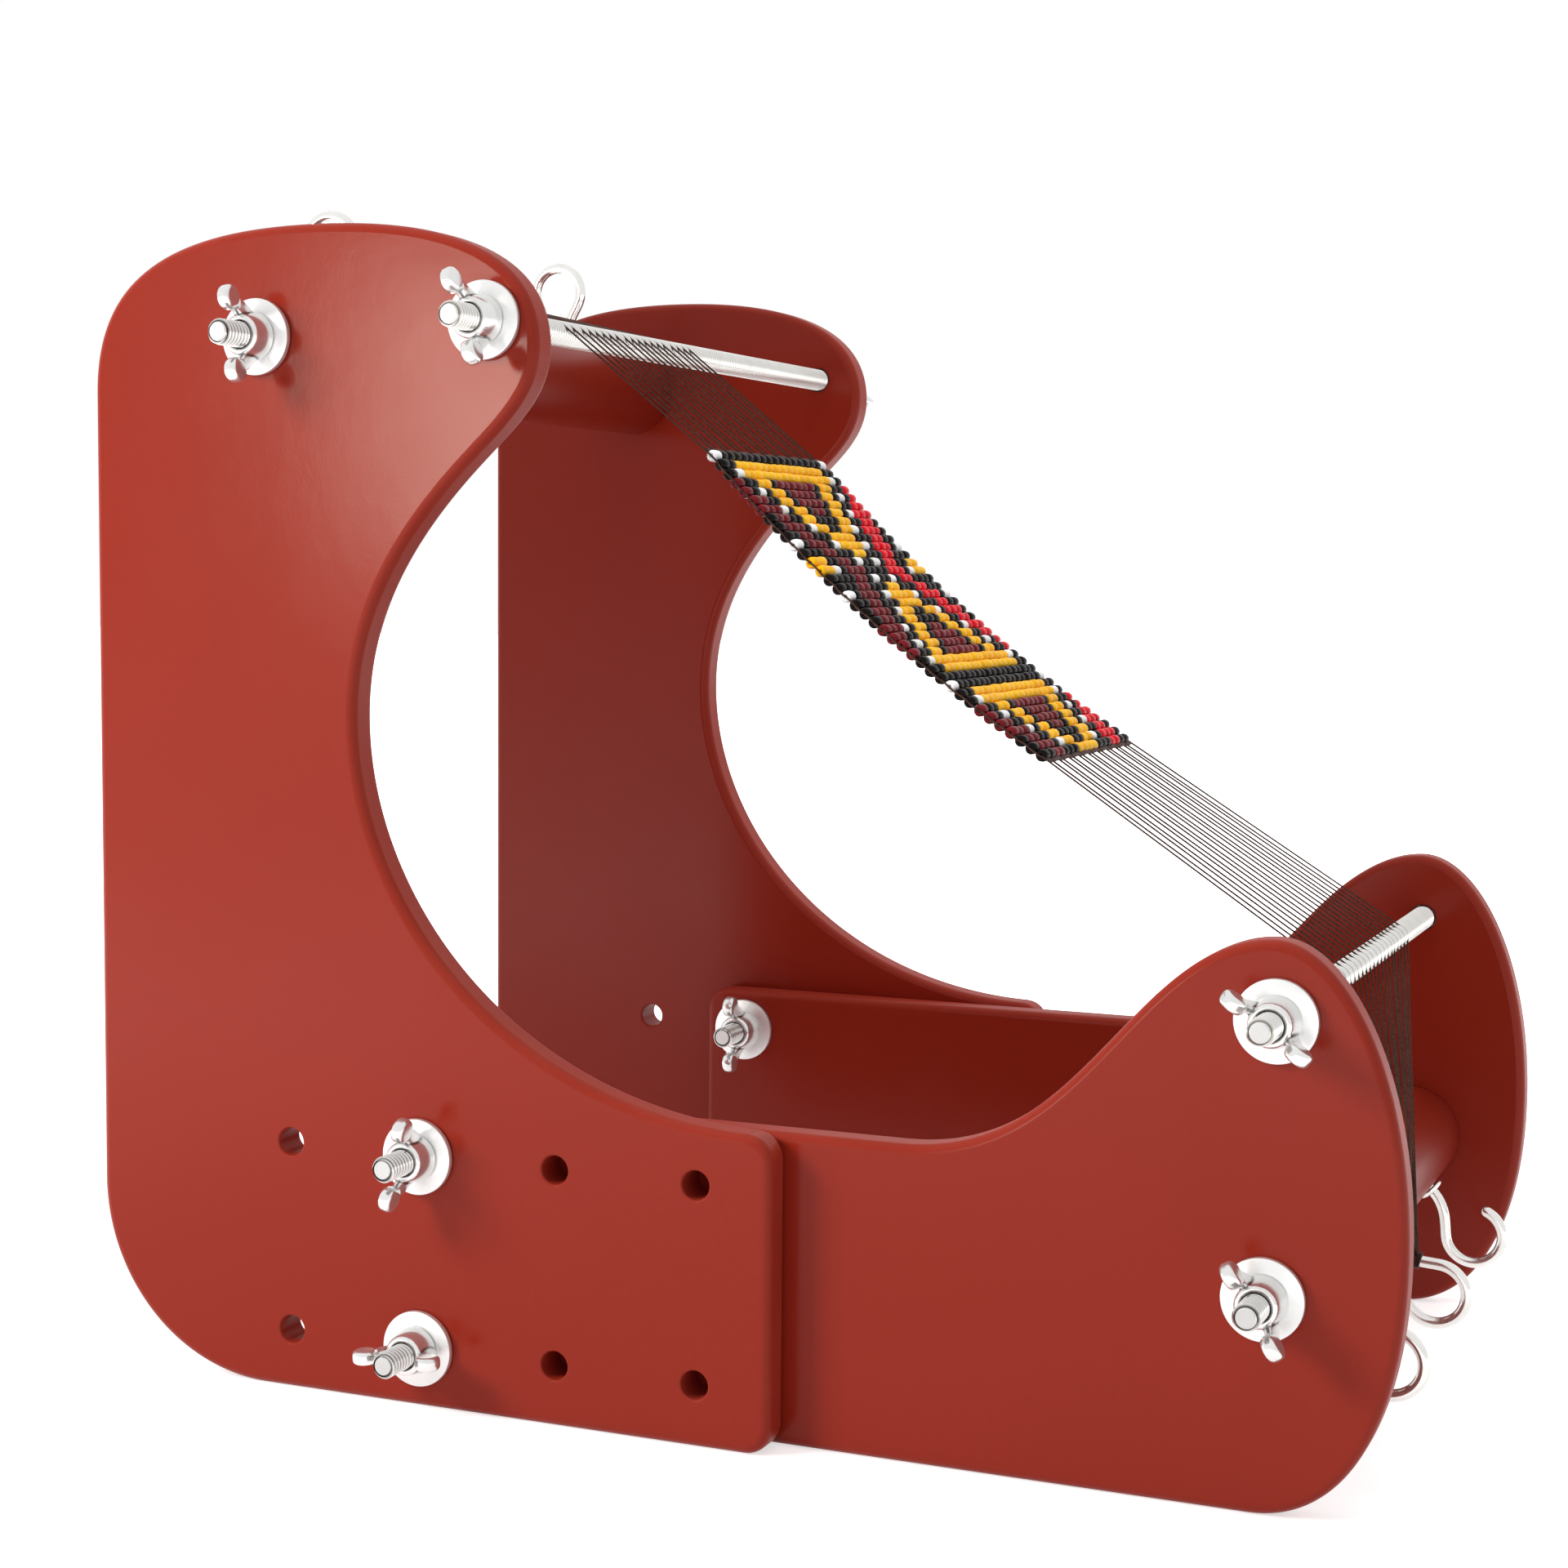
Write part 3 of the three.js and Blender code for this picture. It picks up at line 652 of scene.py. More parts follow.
def panel(name, node, outline, holes):
    """A panel cut from sheet: its rounded rim, its drilled holes and its two flat faces."""
    y_middle = middle(node).y
    points = np.array(outline)
    ahead = np.roll(points, -1, axis=0) - np.roll(points, 1, axis=0)
    ahead /= np.linalg.norm(ahead, axis=1)[:, None]
    xs, zs = points.T
    clockwise = np.sum(xs * np.roll(zs, -1) - np.roll(xs, -1) * zs) < 0
    outward = np.stack([ahead[:, 1], -ahead[:, 0]], axis=1) * (-1 if clockwise else 1)
    verts, normals, wear_and_highlight, faces, faces_of_side = [], [], [], [], {-1: [], 1: []}

    def rings(flat, out, round_radius, rim_wear_and_highlight):
        """Rings round an outline or a hole, from one face of the sheet to the other."""
        start, count = len(verts), len(flat)
        steps = edge_rings(round_radius)
        for inset, y, share_out, share_y in steps:
            for p, n in zip(flat, out):
                verts.append((p[0] - n[0] * inset, y_middle + y, p[1] - n[1] * inset))
                normals.append((n[0] * share_out, share_y, n[1] * share_out))
                # Each rim point's share of the lighter paint: partly wear, partly a painted highlight
                wear_and_highlight.append(rim_wear_and_highlight * share_out)
        faces.extend(tuple(start + i for i in f) for f in grid_faces(len(steps), count))
        faces_of_side[-1].append(range(start, start + count))
        faces_of_side[1].append(range(start + (len(steps) - 1) * count, start + len(steps) * count))

    rings(points, outward, EDGE_ROUND, 1.0)
    around = [(math.cos(a), math.sin(a)) for a in circle(HOLE_SIDES)]
    inward = [(-a, -b) for a, b in around]
    radius = HOLE_DIAMETER / 2
    for x, z in holes:
        rings([(x + radius * a, z + radius * b) for a, b in around], inward, HOLE_EDGE, HOLE_WEAR_AND_HIGHLIGHT)
    for loops in faces_of_side.values():
        order = [i for loop in loops for i in loop]
        flat = [[Vector((verts[i][0], verts[i][2], 0)) for i in loop] for loop in loops]
        faces.extend(tuple(order[i] for i in triangle) for triangle in tessellate_polygon(flat))
    made = new_object(name, (verts, faces), smooth_angle=0, edge=wear_and_highlight)
    made.data.normals_split_custom_set_from_vertices(normals)
    return dress(made, [node], red_panel)


def side_panels():
    """Both sides' panels. The rear ones have four columns of bolt holes and the front ones have one."""
    rows = (low_bolt.z, high_bolt.z)
    rear_holes = [(rear_bar.x, rear_bar.z), (upper_spacer.x, upper_spacer.z)]
    rear_holes += [(low_bolt.x + c * COLUMN_PITCH, z) for c in (-1, 0, 1, 2) for z in rows]
    front_holes = [(front_bar.x, front_bar.z), (lower_spacer.x, lower_spacer.z)]
    front_holes += [(low_bolt.x, z) for z in rows]
    for side in ("left", "right"):
        panel(side + "_rear_side", side + "_rear_panel", rear_outline(), rear_holes)
        panel(side + "_front_side", side + "_front_panel", front_outline(), front_holes)


# Hook bars and hooks

def half_length(node):
    """Half the length of a node that lies along Y, in millimetres."""
    low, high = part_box(node)
    return (high.y - low.y) / 2 / MM


def hook_bar(name, node, place):
    """A round bar along Y with softened ends and a bore for its rod."""
    half = half_length(node)
    radius, bore, c = BAR_DIAMETER / 2, ROD_RADIUS + SEAT, BAR_CHAMFER
    turns = (1.57, 1.1, 0.7, 0.35, 0.0)
    shoulder = [(radius - c * (1 - math.sin(t)), half - c * (1 - math.cos(t))) for t in turns]
    top = shoulder + [(bore + 0.5, half), (bore, half - 0.5)]
    bar = placed(lathe(top + mirror(top), 96, closed=True), along_y(place.x, 0, place.z))
    return dress(new_object(name, bar, smooth_angle=50), [node], red_bar)


def hook_matrix(end, i):
    """From a hook's own frame, with its foot at z = 0, to the loom's. Hooks count from the left."""
    place, _, lean, turned = HOOKS[end]
    y = (i - 1) * HOOK_PITCH
    stand = Matrix.Translation((place.x, y, place.z)) @ Matrix.Rotation(math.radians(lean), 4, "Y")
    foot = Matrix.Translation((0, 0, BAR_DIAMETER / 2 + SEAT))
    return stand @ foot @ Matrix.Rotation(math.pi if turned[i] else 0, 4, "Z")


def on_ring(neck, angle, reach=0.0):
    """A point on a hook's ring at an angle in degrees, or on a line that touches the ring there."""
    a = math.radians(angle)
    across, up = math.cos(a), math.sin(a)
    return Vector((HOOK_RING * across - reach * up, 0, neck + HOOK_RING * up + reach * across))


def on_neck(neck, t):
    """A point on a hook's neck, from its collar at 0 to the start of its ring at 1."""
    a, b = Vector((0, 0, COLLAR_HEIGHT / 2)), Vector((0, 0, neck * 0.4))
    c, d = on_ring(neck, RING_FROM, HOOK_RING * 0.45), on_ring(neck, RING_FROM)
    return bezier(a, b, c, d, t)


def hook_part(neck):
    """A cup hook with its foot at z = 0: bent wire, domed collar and shank."""
    path = [on_neck(neck, k / NECK_STEPS) for k in range(NECK_STEPS)]
    for k in range(RING_STEPS + 1):
        path.append(on_ring(neck, RING_FROM + (RING_TO - RING_FROM) * k / RING_STEPS))
    rim, height = COLLAR_DIAMETER / 2, COLLAR_HEIGHT
    dome = [(rim - 0.15, 0), (rim, 0.15), (rim, height * 0.42), (rim - 0.2, height * 0.62)]
    dome += [(rim * 0.8, height * 0.86), (rim * 0.62, height), (0.5, height)]
    shank = [(HOOK_WIRE * 0.36, -HOOK_SHANK + height / 2), (HOOK_WIRE / 2, 0), (HOOK_WIRE / 2, height / 2)]
    return together([tube(path, HOOK_WIRE / 2, 20), lathe(dome, 32), lathe(shank, 16)])


def hooks(end):
    """The three hooks of a bar."""
    part = hook_part(HOOKS[end][1])
    for i, label in enumerate(("left", "middle", "right")):
        made = new_object(end + "_cup_hook_" + label, placed(part, hook_matrix(end, i)), smooth_angle=50)
        dress(made, [end + "_hook_" + label], hook_wire)


# Threaded rods, bolts, washers and wing nuts

def screw_thread(start, stop):
    """A quarter-inch thread about Z between two heights: crests and roots on one helix."""
    turns = int((stop - start) / THREAD_PITCH) + 3
    steps = turns * THREAD_SIDES
    verts = []
    for s in range(steps + 1):
        a = 2 * math.pi * s / THREAD_SIDES
        for share, radius in THREAD_PROFILE:
            h = start + (s / THREAD_SIDES + share - 1.5) * THREAD_PITCH
            h = min(max(h, start), stop)
            r = min(radius, ROOT_RADIUS + min(h - start, stop - h) * THREAD_RISE)
            verts.append((r * math.cos(a), r * math.sin(a), h))
    faces = []
    for s in range(steps):
        for p in range(3):
            a = s * 4 + p
            faces.append((a, a + 1, a + 5, a + 4))
        if s + THREAD_SIDES + 1 <= steps:
            a, b = s * 4 + 3, (s + THREAD_SIDES) * 4
            faces.append((a, b, b + 4, a + 4))
    return verts, faces


def core(start, stop, radius, chamfer):
    """A plain rod about Z with chamfered ends."""
    end = radius - chamfer
    profile = [(end, start), (radius, start + chamfer), (radius, stop - chamfer), (end, stop)]
    return lathe(profile, THREAD_SIDES)


def threaded(name, part, matrix):
    """A threaded piece. Its thread's roots are marked with 1, for painted shade, and its flat ends with -1.
    """
    grooves = []
    for x, y, _ in part[0]:
        depth = ROOT_RADIUS - math.hypot(x, y)
        grooves.append(1.0 if abs(depth) < ROOT_NEARNESS else -1.0 if depth > 0 else 0.0)
    return new_object(name, placed(part, matrix), THREAD_SHARP, merge=THREAD_MERGE, groove=grooves)


def cross_rod(name, node, place, finish, ends_only=False):
    """A rod through both sides, threaded from end to end or near its ends only."""
    half = half_length(node)
    tip, inner = half - THREAD_INSET, half - END_THREAD
    parts = [core(-half, half, CORE_RADIUS, ROD_CHAMFER)]
    if ends_only:
        parts += [screw_thread(-tip, -inner), screw_thread(inner, tip)]
        parts.append(core(-inner, inner, PLAIN_RADIUS, 0.3))
    else:
        parts.append(screw_thread(-tip, tip))
    made = threaded(name, together(parts), along_y(place.x, 0, place.z))
    return dress(made, [node], finish)


def joint_bolt(name, node):
    """A round-headed bolt: domed head, plain neck in the panels and thread beyond them."""
    low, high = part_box(node)
    face = high.y / MM - BOLT_HEAD_HEIGHT
    length = (high.y - low.y) / MM - BOLT_HEAD_HEIGHT
    radius = BOLT_HEAD / 2
    head = []
    for t in np.linspace(1.45, 0, 9):
        head.append((radius * math.cos(t), -BOLT_HEAD_HEIGHT * (0.14 + 0.86 * math.sin(t))))
    head += [(radius, -0.1), (radius - 0.1, 0.0), (ROD_RADIUS, 0.0)]
    parts = [
        lathe(head, 48),
        core(-0.3, BOLT_NECK, PLAIN_RADIUS, 0.2),
        core(0, length, CORE_RADIUS, ROD_CHAMFER),
        screw_thread(BOLT_NECK - 1.0, length),
    ]
    centre = middle(node)
    made = threaded(name, together(parts), along_y(centre.x, face, centre.z, -1))
    return dress(made, [node], zinc_rod)


def washer_part():
    """A flat washer about Z with its foot at z = 0 and softened edges."""
    outer, inner, thick, edge = WASHER_DIAMETER / 2, HOLE_DIAMETER / 2, WASHER_THICKNESS, WASHER_EDGE
    rim = [(outer - edge, 0), (outer - 0.08, 0.08), (outer, edge)]
    rim += [(outer, thick - edge), (outer - 0.08, thick - 0.08), (outer - edge, thick)]
    bore = [(inner + 0.12, thick), (inner, thick - 0.12), (inner, 0.12)]
    return lathe([(inner + 0.12, 0)] + rim + bore, 64, closed=True)


def listed(items, value, width, kind=float):
    """One value of each of a mesh's points or edges, as rows."""
    rows = np.empty(len(items) * width, kind)
    items.foreach_get(value, rows)
    return rows.reshape(-1, width)


def hollows(mesh):
    """How far each point of a mesh lies in a hollow, from 0 on open surfaces. The nuts get painted shade by
    it.
    """
    places = listed(mesh.vertices, "co", 3)
    normals = listed(mesh.vertices, "normal", 3)
    a, b = listed(mesh.edges, "vertices", 2, int).T
    a, b = np.concatenate([a, b]), np.concatenate([b, a])
    along = places[b] - places[a]
    lengths = np.maximum(np.linalg.norm(along, axis=1), 1e-4)
    rise = np.sum(normals[a] * along, axis=1) / lengths**2
    count = np.maximum(np.bincount(a, minlength=len(places)), 1)
    value = np.bincount(a, rise, len(places)) / count
    for _ in range(2):
        value = (value + np.bincount(a, value[b], len(places)) / count) / 2
    return np.clip((value - HOLLOW_START) / HOLLOW_RANGE, 0, HOLLOW_MOST)


def wing_nut_mesh():
    """A cast wing nut about Z with its base at z = 0: hub, two arms that sweep up, and round paddles."""
    bore = ROD_RADIUS + SEAT
    base, top = NUT_BASE / 2, NUT_TOP / 2
    hub = [(bore, 0), (base - 0.25, 0), (base, 0.3), (base - 0.1, 1.1)]
    hub += [(top + 0.15, NUT_HEIGHT - 0.6), (top - 0.35, NUT_HEIGHT), (bore, NUT_HEIGHT)]
    parts = [lathe(hub, 48, closed=True)]
    paddle_x = WING_SPAN / 2 - PADDLE_RADIUS
    paddle_z = WING_HEIGHT - PADDLE_RADIUS
    half, rim = WING_THICKNESS / 2, PADDLE_RADIUS
    disc = [(rim - 0.9, -half), (rim - 0.3, -half + 0.3), (rim, -half + 0.95)]
    paddle = lathe(disc + mirror(disc), 28)
    steepest = math.atan2(paddle_z - ARM_HEIGHT, paddle_x - bore - ARM_INSET)
    for side in (1, -1):
        arm = []
        for k in range(ARM_STEPS + 1):
            t = k / ARM_STEPS
            x = (bore + ARM_INSET) * (1 - t) + paddle_x * t
            z = ARM_HEIGHT + (paddle_z - ARM_HEIGHT) * t**1.35
            half_width = 1.6 * (1 - 0.18 * math.sin(math.pi * t))
            half_depth = 2.7 - 0.9 * math.sin(0.5 * math.pi * t)
            lean = steepest * min(1.0, 0.4 + t)
            for a in circle(ARM_SIDES):
                across = half_depth * math.sin(a)
                y = half_width * abs(math.cos(a)) ** 0.7 * math.copysign(1, math.cos(a))
                arm.append((side * (x - across * math.sin(lean)), y, z + across * math.cos(lean)))
        parts.append((arm, capped(ARM_STEPS + 1, ARM_SIDES)))
        turn = Matrix.Translation((side * paddle_x, 0, paddle_z)) @ Matrix.Rotation(math.pi / 2, 4, "X")
        parts.append(placed(paddle, turn))
    made = new_object("wing_nut_master", together(parts), smooth_angle=0)
    remesh = made.modifiers.new("remesh", "REMESH")
    remesh.mode = "VOXEL"
    remesh.voxel_size = NUT_VOXEL
    remesh.use_smooth_shade = True
    smooth = made.modifiers.new("smooth", "SMOOTH")
    smooth.factor = 0.5
    smooth.iterations = 7
    fewer = made.modifiers.new("fewer", "DECIMATE")
    fewer.ratio = 0.25
    depsgraph = bpy.context.evaluated_depsgraph_get()
    mesh = bpy.data.meshes.new_from_object(made.evaluated_get(depsgraph))
    mesh.name = "wing_nut"
    mesh.shade_smooth()
    # The nut's hollows get painted shade by this mark
    add_share(mesh, "groove", hollows(mesh))
    bpy.data.objects.remove(made)
    return mesh


# Wing angles as in the photograph, and as given on the side that it doesn't show
WING_ANGLES = {
    "left_rear_bar": 96, "right_rear_bar": 70,
    "left_upper_spacer": 108, "right_upper_spacer": 35,
    "left_lower_spacer": 144, "right_lower_spacer": 110,
    "left_front_bar": 122, "right_front_bar": 15,
    "left_lower_joint": 2, "right_lower_joint": 60,
    "left_upper_joint": 78, "right_upper_joint": 90,
}


def foot_of(node, outward):
    """Where a node starts along Y, seen from the loom's middle."""
    low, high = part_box(node)
    return (low.y if outward > 0 else high.y) / MM


def fasteners():
    """A washer and a wing nut at each place, pointing the way that its nut backs off."""
    nut_mesh = wing_nut_mesh()
    washer = washer_part()
    outward_of = {joint["child"]: joint["axis"][1] for joint in frame["joints"]}
    for place, angle in WING_ANGLES.items():
        nut_node, washer_node = place + "_wing_nut", place + "_washer"
        outward = 1 if outward_of[body_of[nut_node]] > 0 else -1
        centre = middle(washer_node)
        seat = along_y(centre.x, foot_of(washer_node, outward), centre.z, outward)
        ring = new_object(place + "_ring", placed(washer, seat))
        dress(ring, [washer_node], zinc_washer)
        nut = in_scene(place + "_nut", nut_mesh)
        turned = along_y(centre.x * MM, foot_of(nut_node, outward) * MM, centre.z * MM, outward)
        nut.matrix_world = turned @ Matrix.Rotation(math.radians(angle), 4, "Z")
        dress(nut, [nut_node], zinc_nut)


def rods_and_bolts():
    """The four cross rods and the four joint bolts."""
    cross_rod("rear_bar_stud", "rear_bar_rod", rear_bar, zinc_rod, ends_only=True)
    cross_rod("front_bar_stud", "front_bar_rod", front_bar, zinc_rod, ends_only=True)
    cross_rod("upper_spacer_stud", "upper_spacer_rod", upper_spacer, zinc_spacer)
    cross_rod("lower_spacer_stud", "lower_spacer_rod", lower_spacer, zinc_spacer)
    for place in ("left_lower_joint", "left_upper_joint", "right_lower_joint", "right_upper_joint"):
        joint_bolt(place + "_carriage_bolt", place + "_bolt")


# Warp, beadwork and tails

WARP_SLOPE = math.atan2(upper_spacer.z - lower_spacer.z, lower_spacer.x - upper_spacer.x)
SPACER_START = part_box("upper_spacer_rod")[0].y / MM + THREAD_INSET
# From a spacer rod's axis to the middle of a thread: in its groove, and on it in the CAD model
ROD_LIFT = ROOT_RADIUS + WARP_RADIUS
CAD_LIFT = ROD_RADIUS + SEAT + 0.3


def spread(centre, width):
    """Even places for the warp threads over a width."""
    return [centre + (i / (WARP_THREADS - 1) - 0.5) * width for i in range(WARP_THREADS)]


ON_STRIP = spread(STRIP_MIDDLE, BEAD_COLUMNS * COLUMN_WIDTH)
ON_LOWER = spread(FAN_MIDDLE, FAN_WIDTH)


def sag(x):
    """How far the strip, which bows, hangs below a straight line at a distance down the warp's slope."""
    share = (x - UPPER_WARP) / STRIP_LENGTH
    return SAG_ABOVE * (1 - share) + SAG_BELOW * share + 4 * STRIP_BOW * share * (1 - share)


def warp_matrix():
    """From the warp's own frame, x down the slope and z square to it, to the loom's."""
    lift = Vector((math.sin(WARP_SLOPE), 0, math.cos(WARP_SLOPE))) * CAD_LIFT
    start = Vector((upper_spacer.x, 0, upper_spacer.z)) + lift
    return Matrix.Translation(start) @ Matrix.Rotation(WARP_SLOPE, 4, "Y")


def bead_colour(row, column):
    """Triangles set point to point, edged in yellow, with dots and diagonal bands that follow their sides.
    Across counts columns from the strip's middle, and out counts them from the side of a triangle."""
    across = column - (BEAD_COLUMNS - 1) / 2
    place = row % PATTERN_ROWS
    if place in (0, PATTERN_ROWS - 1):
        return "white" if abs(across) > 8 and place == 0 else "black"
    from_base = min(place - 1, PATTERN_ROWS - 2 - place)
    reach = TRIANGLE_REACH * (1 - from_base / TRIANGLE_ROWS)
    out = abs(across) - reach
    if out < 0.6 and (from_base < 2 or out > -1.5):
        return "yellow" if reach > 0 else "black"
    if out < 0:
        return "maroon" if out < -2.6 else "black"
    if 1.0 < out < 2.0:
        return "white" if place % 2 == 0 else "black"
    if 2.9 < out < 5.4 and from_base > 1:
        return "red" if across > 0 else "maroon"
    if abs(across) > 7 and place in (12, 13):
        return "yellow"
    return "white" if 6.4 < out < 7.4 and row % 3 == 1 else "black"


def bead_part():
    """One bead about its hole, rounded at both ends."""
    half, rim, hole = 1.95, 1.5, 0.32
    end = [(hole, -half + 0.25), (hole + 0.3, -half + 0.02)]
    end += [(rim * 0.78, -half + 0.14), (rim * 0.96, -half + 0.6)]
    return lathe(end + [(rim, 0)] + mirror(end), BEAD_SIDES, closed=True)


def stray(chance, most):
    """A random number up to the most either way."""
    return chance.uniform(-most, most)


def beadwork():
    """Rows of beads threaded across the warp, one piece for each colour."""
    chance = random.Random(11)
    bead = bead_part()
    to_loom = warp_matrix()
    groups = {name: ([], []) for name in BEADS}
    for row in range(BEAD_ROWS):
        drift = stray(chance, ROW_DRIFT)
        for column in range(BEAD_COLUMNS):
            x = UPPER_WARP + (row + 0.5) * BEAD_PITCH + stray(chance, STRAY_ALONG)
            y = (ON_STRIP[column] + ON_STRIP[column + 1]) / 2 + drift + stray(chance, STRAY_ACROSS)
            z = stray(chance, STRAY_UP) - sag(x)
            size = chance.uniform(*BEAD_SIZES)
            tilt = Matrix.Rotation(stray(chance, BEAD_TILT), 4, "X")
            turn = Matrix.Rotation(stray(chance, BEAD_TURN), 4, "Z") @ tilt
            spin = Matrix.Rotation(chance.uniform(0, BEAD_SPIN), 4, "Z")
            lying = Matrix.Rotation(math.pi / 2, 4, "X") @ spin
            matrix = to_loom @ Matrix.Translation((x, y, z)) @ turn @ lying @ Matrix.Scale(size, 4)
            parts, tones = groups[bead_colour(row, column)]
            parts.append(placed(bead, matrix))
            tones.extend([chance.uniform(0, 1)] * len(bead[0]))
    for name, (parts, tones) in groups.items():
        made = new_object("beads_" + name, together(parts), smooth_angle=60, tone=tones)
        dress(made, ["bead_strip"], bead_materials[name])


def in_groove(rod, a, y):
    """The point in a spacer rod's groove next to y, at an angle from +X towards +Z."""
    first = SPACER_START + GROOVE_SHARE * THREAD_PITCH
    turn = round((y - first) / THREAD_PITCH) - a / (2 * math.pi)
    x, z = rod.x + ROD_LIFT * math.cos(a), rod.z + ROD_LIFT * math.sin(a)
    return Vector((x, first + turn * THREAD_PITCH, z))


def rod_arc(rod, start, stop, y):
    """Points on a thread that lies in a rod's groove, between two angles."""
    return [in_groove(rod, start + (stop - start) * k / ARC_STEPS, y) for k in range(ARC_STEPS + 1)]


def thread_tube(path):
    """One piece of thread along a path."""
    return tube(path, WARP_RADIUS, WARP_SIDES)


def tie_point(end, hook):
    """Where the tails are tied to a hook."""
    return hook_matrix(end, hook) @ on_neck(HOOKS[end][1], TIE_SHARE)


def touching_angle(end):
    """Angle on its spacer rod where a straight thread from a bar's middle hook touches the rod."""
    rod, side = SPACERS[end]
    tie = tie_point(end, 1)
    away = math.atan2(tie.z - rod.z, tie.x - rod.x)
    distance = math.hypot(tie.x - rod.x, tie.z - rod.z)
    return away + side * math.acos(ROD_LIFT / distance)


# For each set of hooks, the spacer rod that its tails leave, and on which side of the rod they touch it
SPACERS = {"rear": (upper_spacer, -1), "front": (lower_spacer, 1)}
TOUCH = {end: touching_angle(end) for end in SPACERS}


def warp():
    """Warp threads from their touch on the upper spacer rod to the one on the lower, through the strip."""
    slope_angle = math.pi / 2 - WARP_SLOPE
    to_loom = warp_matrix()
    runs = []
    for i, (y, lower_y) in enumerate(zip(ON_STRIP, ON_LOWER)):
        path = rod_arc(upper_spacer, TOUCH["rear"], slope_angle, y)
        for k in range(BEAD_ROWS + 1):
            lift = WARP_WEAVE if (k + i) % 2 else -WARP_WEAVE
            x = UPPER_WARP + k * BEAD_PITCH
            path.append(to_loom @ Vector((x, y, lift - sag(x))))
        path += rod_arc(lower_spacer, slope_angle, TOUCH["front"], lower_y)
        runs.append(thread_tube(path))
    made = new_object("warp_runs", together(runs), smooth_angle=0)
    dress(made, ["upper_warp", "lower_warp"], warp_thread)


def weft():
    """The weft's turns round the outer warp threads, and the headings at the strip's two ends."""
    to_loom = warp_matrix()
    turns = []
    for row in range(BEAD_ROWS - 1):
        edge = ON_STRIP[0] if row % 2 else ON_STRIP[-1]
        out = -1 if row % 2 else 1
        path = []
        for k in range(TURN_STEPS + 1):
            a = math.pi * k / TURN_STEPS
            x = UPPER_WARP + (row + 1 - 0.5 * math.cos(a)) * BEAD_PITCH
            path.append(to_loom @ Vector((x, edge + out * TURN_REACH * math.sin(a), -sag(x))))
        turns.append(thread_tube(path))
    strip_end = UPPER_WARP + STRIP_LENGTH
    for distance, drop in ((UPPER_WARP - HEADING_GAP, SAG_ABOVE), (strip_end + HEADING_GAP, SAG_BELOW)):
        for layer in (-HEADING_PITCH, 0.0, HEADING_PITCH):
            path = []
            for j, y in enumerate(ON_STRIP):
                path.append(to_loom @ Vector((distance + layer, y, HEADING_WEAVE * (-1) ** j - drop)))
            turns.append(thread_tube(path))
    made = new_object("weft_turns", together(turns), smooth_angle=0)
    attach(made, "frame")
    made.data.materials.append(warp_thread)


def tails():
    """The warp threads' tails, from the spacer rods to the hooks that they are tied to."""
    chance = random.Random(5)
    half = (WARP_THREADS + 1) // 2
    # Each set of tails: its node, its bar, its hook, and where its threads lie on the spacer rod
    sets = (
        ("rear_tail_left", "rear", 0, ON_STRIP[:half]),
        ("rear_tail_middle", "rear", 1, ON_STRIP[half:]),
        ("front_tail", "front", 1, ON_LOWER),
    )
    for node, end, hook, rod_ys in sets:
        rod, angle = SPACERS[end][0], TOUCH[end]
        knot = tie_point(end, hook)
        runs = []
        for y in rod_ys:
            start = knot + Vector([stray(chance, most) for most in TAIL_SPREAD])
            stop = in_groove(rod, angle, y)
            runs.append(thread_tube([start.lerp(stop, k / TAIL_STEPS) for k in range(TAIL_STEPS + 1)]))
        made = new_object(node + "_threads", together(runs), smooth_angle=0)
        made.data.materials.append(warp_thread)
        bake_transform(made)
        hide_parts(node)
        whipping(node + "_knot", node, end, hook)


def whipping(name, node, end, hook):
    """Turns of thread wound round the hook's wire where the tails are tied."""
    neck = HOOKS[end][1]
    matrix = hook_matrix(end, hook)
    centre = on_neck(neck, TIE_SHARE)
    along = (on_neck(neck, TIE_SHARE + 0.05) - on_neck(neck, TIE_SHARE - 0.05)).normalized()
    side = Vector((0, 1, 0))
    out = along.cross(side)
    path = []
    steps = TIE_TURNS * TIE_LAYERS * TIE_STEPS
    for k in range(steps + 1):
        share = k / steps * TIE_LAYERS
        back_and_forth = abs((share % 2) - 1)
        angle = 2 * math.pi * k / TIE_STEPS
        reach = HOOK_WIRE / 2 + 0.2 + 0.3 * (share > 1)
        wound = out * (reach * math.cos(angle)) + side * (reach * math.sin(angle))
        path.append(matrix @ (centre + along * ((back_and_forth - 0.5) * TIE_LENGTH) + wound))
    made = new_object(name, thread_tube(path), smooth_angle=0)
    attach(made, body_of[node])
    made.data.materials.append(warp_thread)


# Stage: floor, world, lamps and camera

def on_background(tree):
    """1 for the rays that show the white background: the camera's own, reflected and transmitted ones."""
    path = add(tree, "ShaderNodeLightPath")
    shown = path.outputs["Is Camera Ray"]
    for kind in ("Is Glossy Ray", "Is Transmission Ray"):
        shown = calculated("MAXIMUM", shown, path.outputs[kind])
    return shown


def floor():
    """A pale floor that keeps a soft shadow near the loom and turns plain white further off."""
    reach = FLOOR_REACH
    corners = [(-reach, -reach, 0), (reach, -reach, 0), (reach, reach, 0), (-reach, reach, 0)]
    made = new_object("floor", (corners, [(0, 1, 2, 3)]), smooth_angle=0)
    material, shader, coordinates = new_material("floor")
    wire(shader, Base_Color=FLOOR_GREY, Roughness=0.9, Specular_IOR_Level=0.1)
    distance = add(shader.id_data, "ShaderNodeVectorMath", {"operation": "LENGTH"})
    feed(distance.inputs, [coordinates])
    glow = ranged(distance.outputs["Value"], *FLOOR_GLOW, *GLOW_DISTANCES)
    strength = calculated("MULTIPLY", on_background(shader.id_data), glow)
    wire(shader, Emission_Color=WHITE, Emission_Strength=strength)
    made.data.materials.append(material)


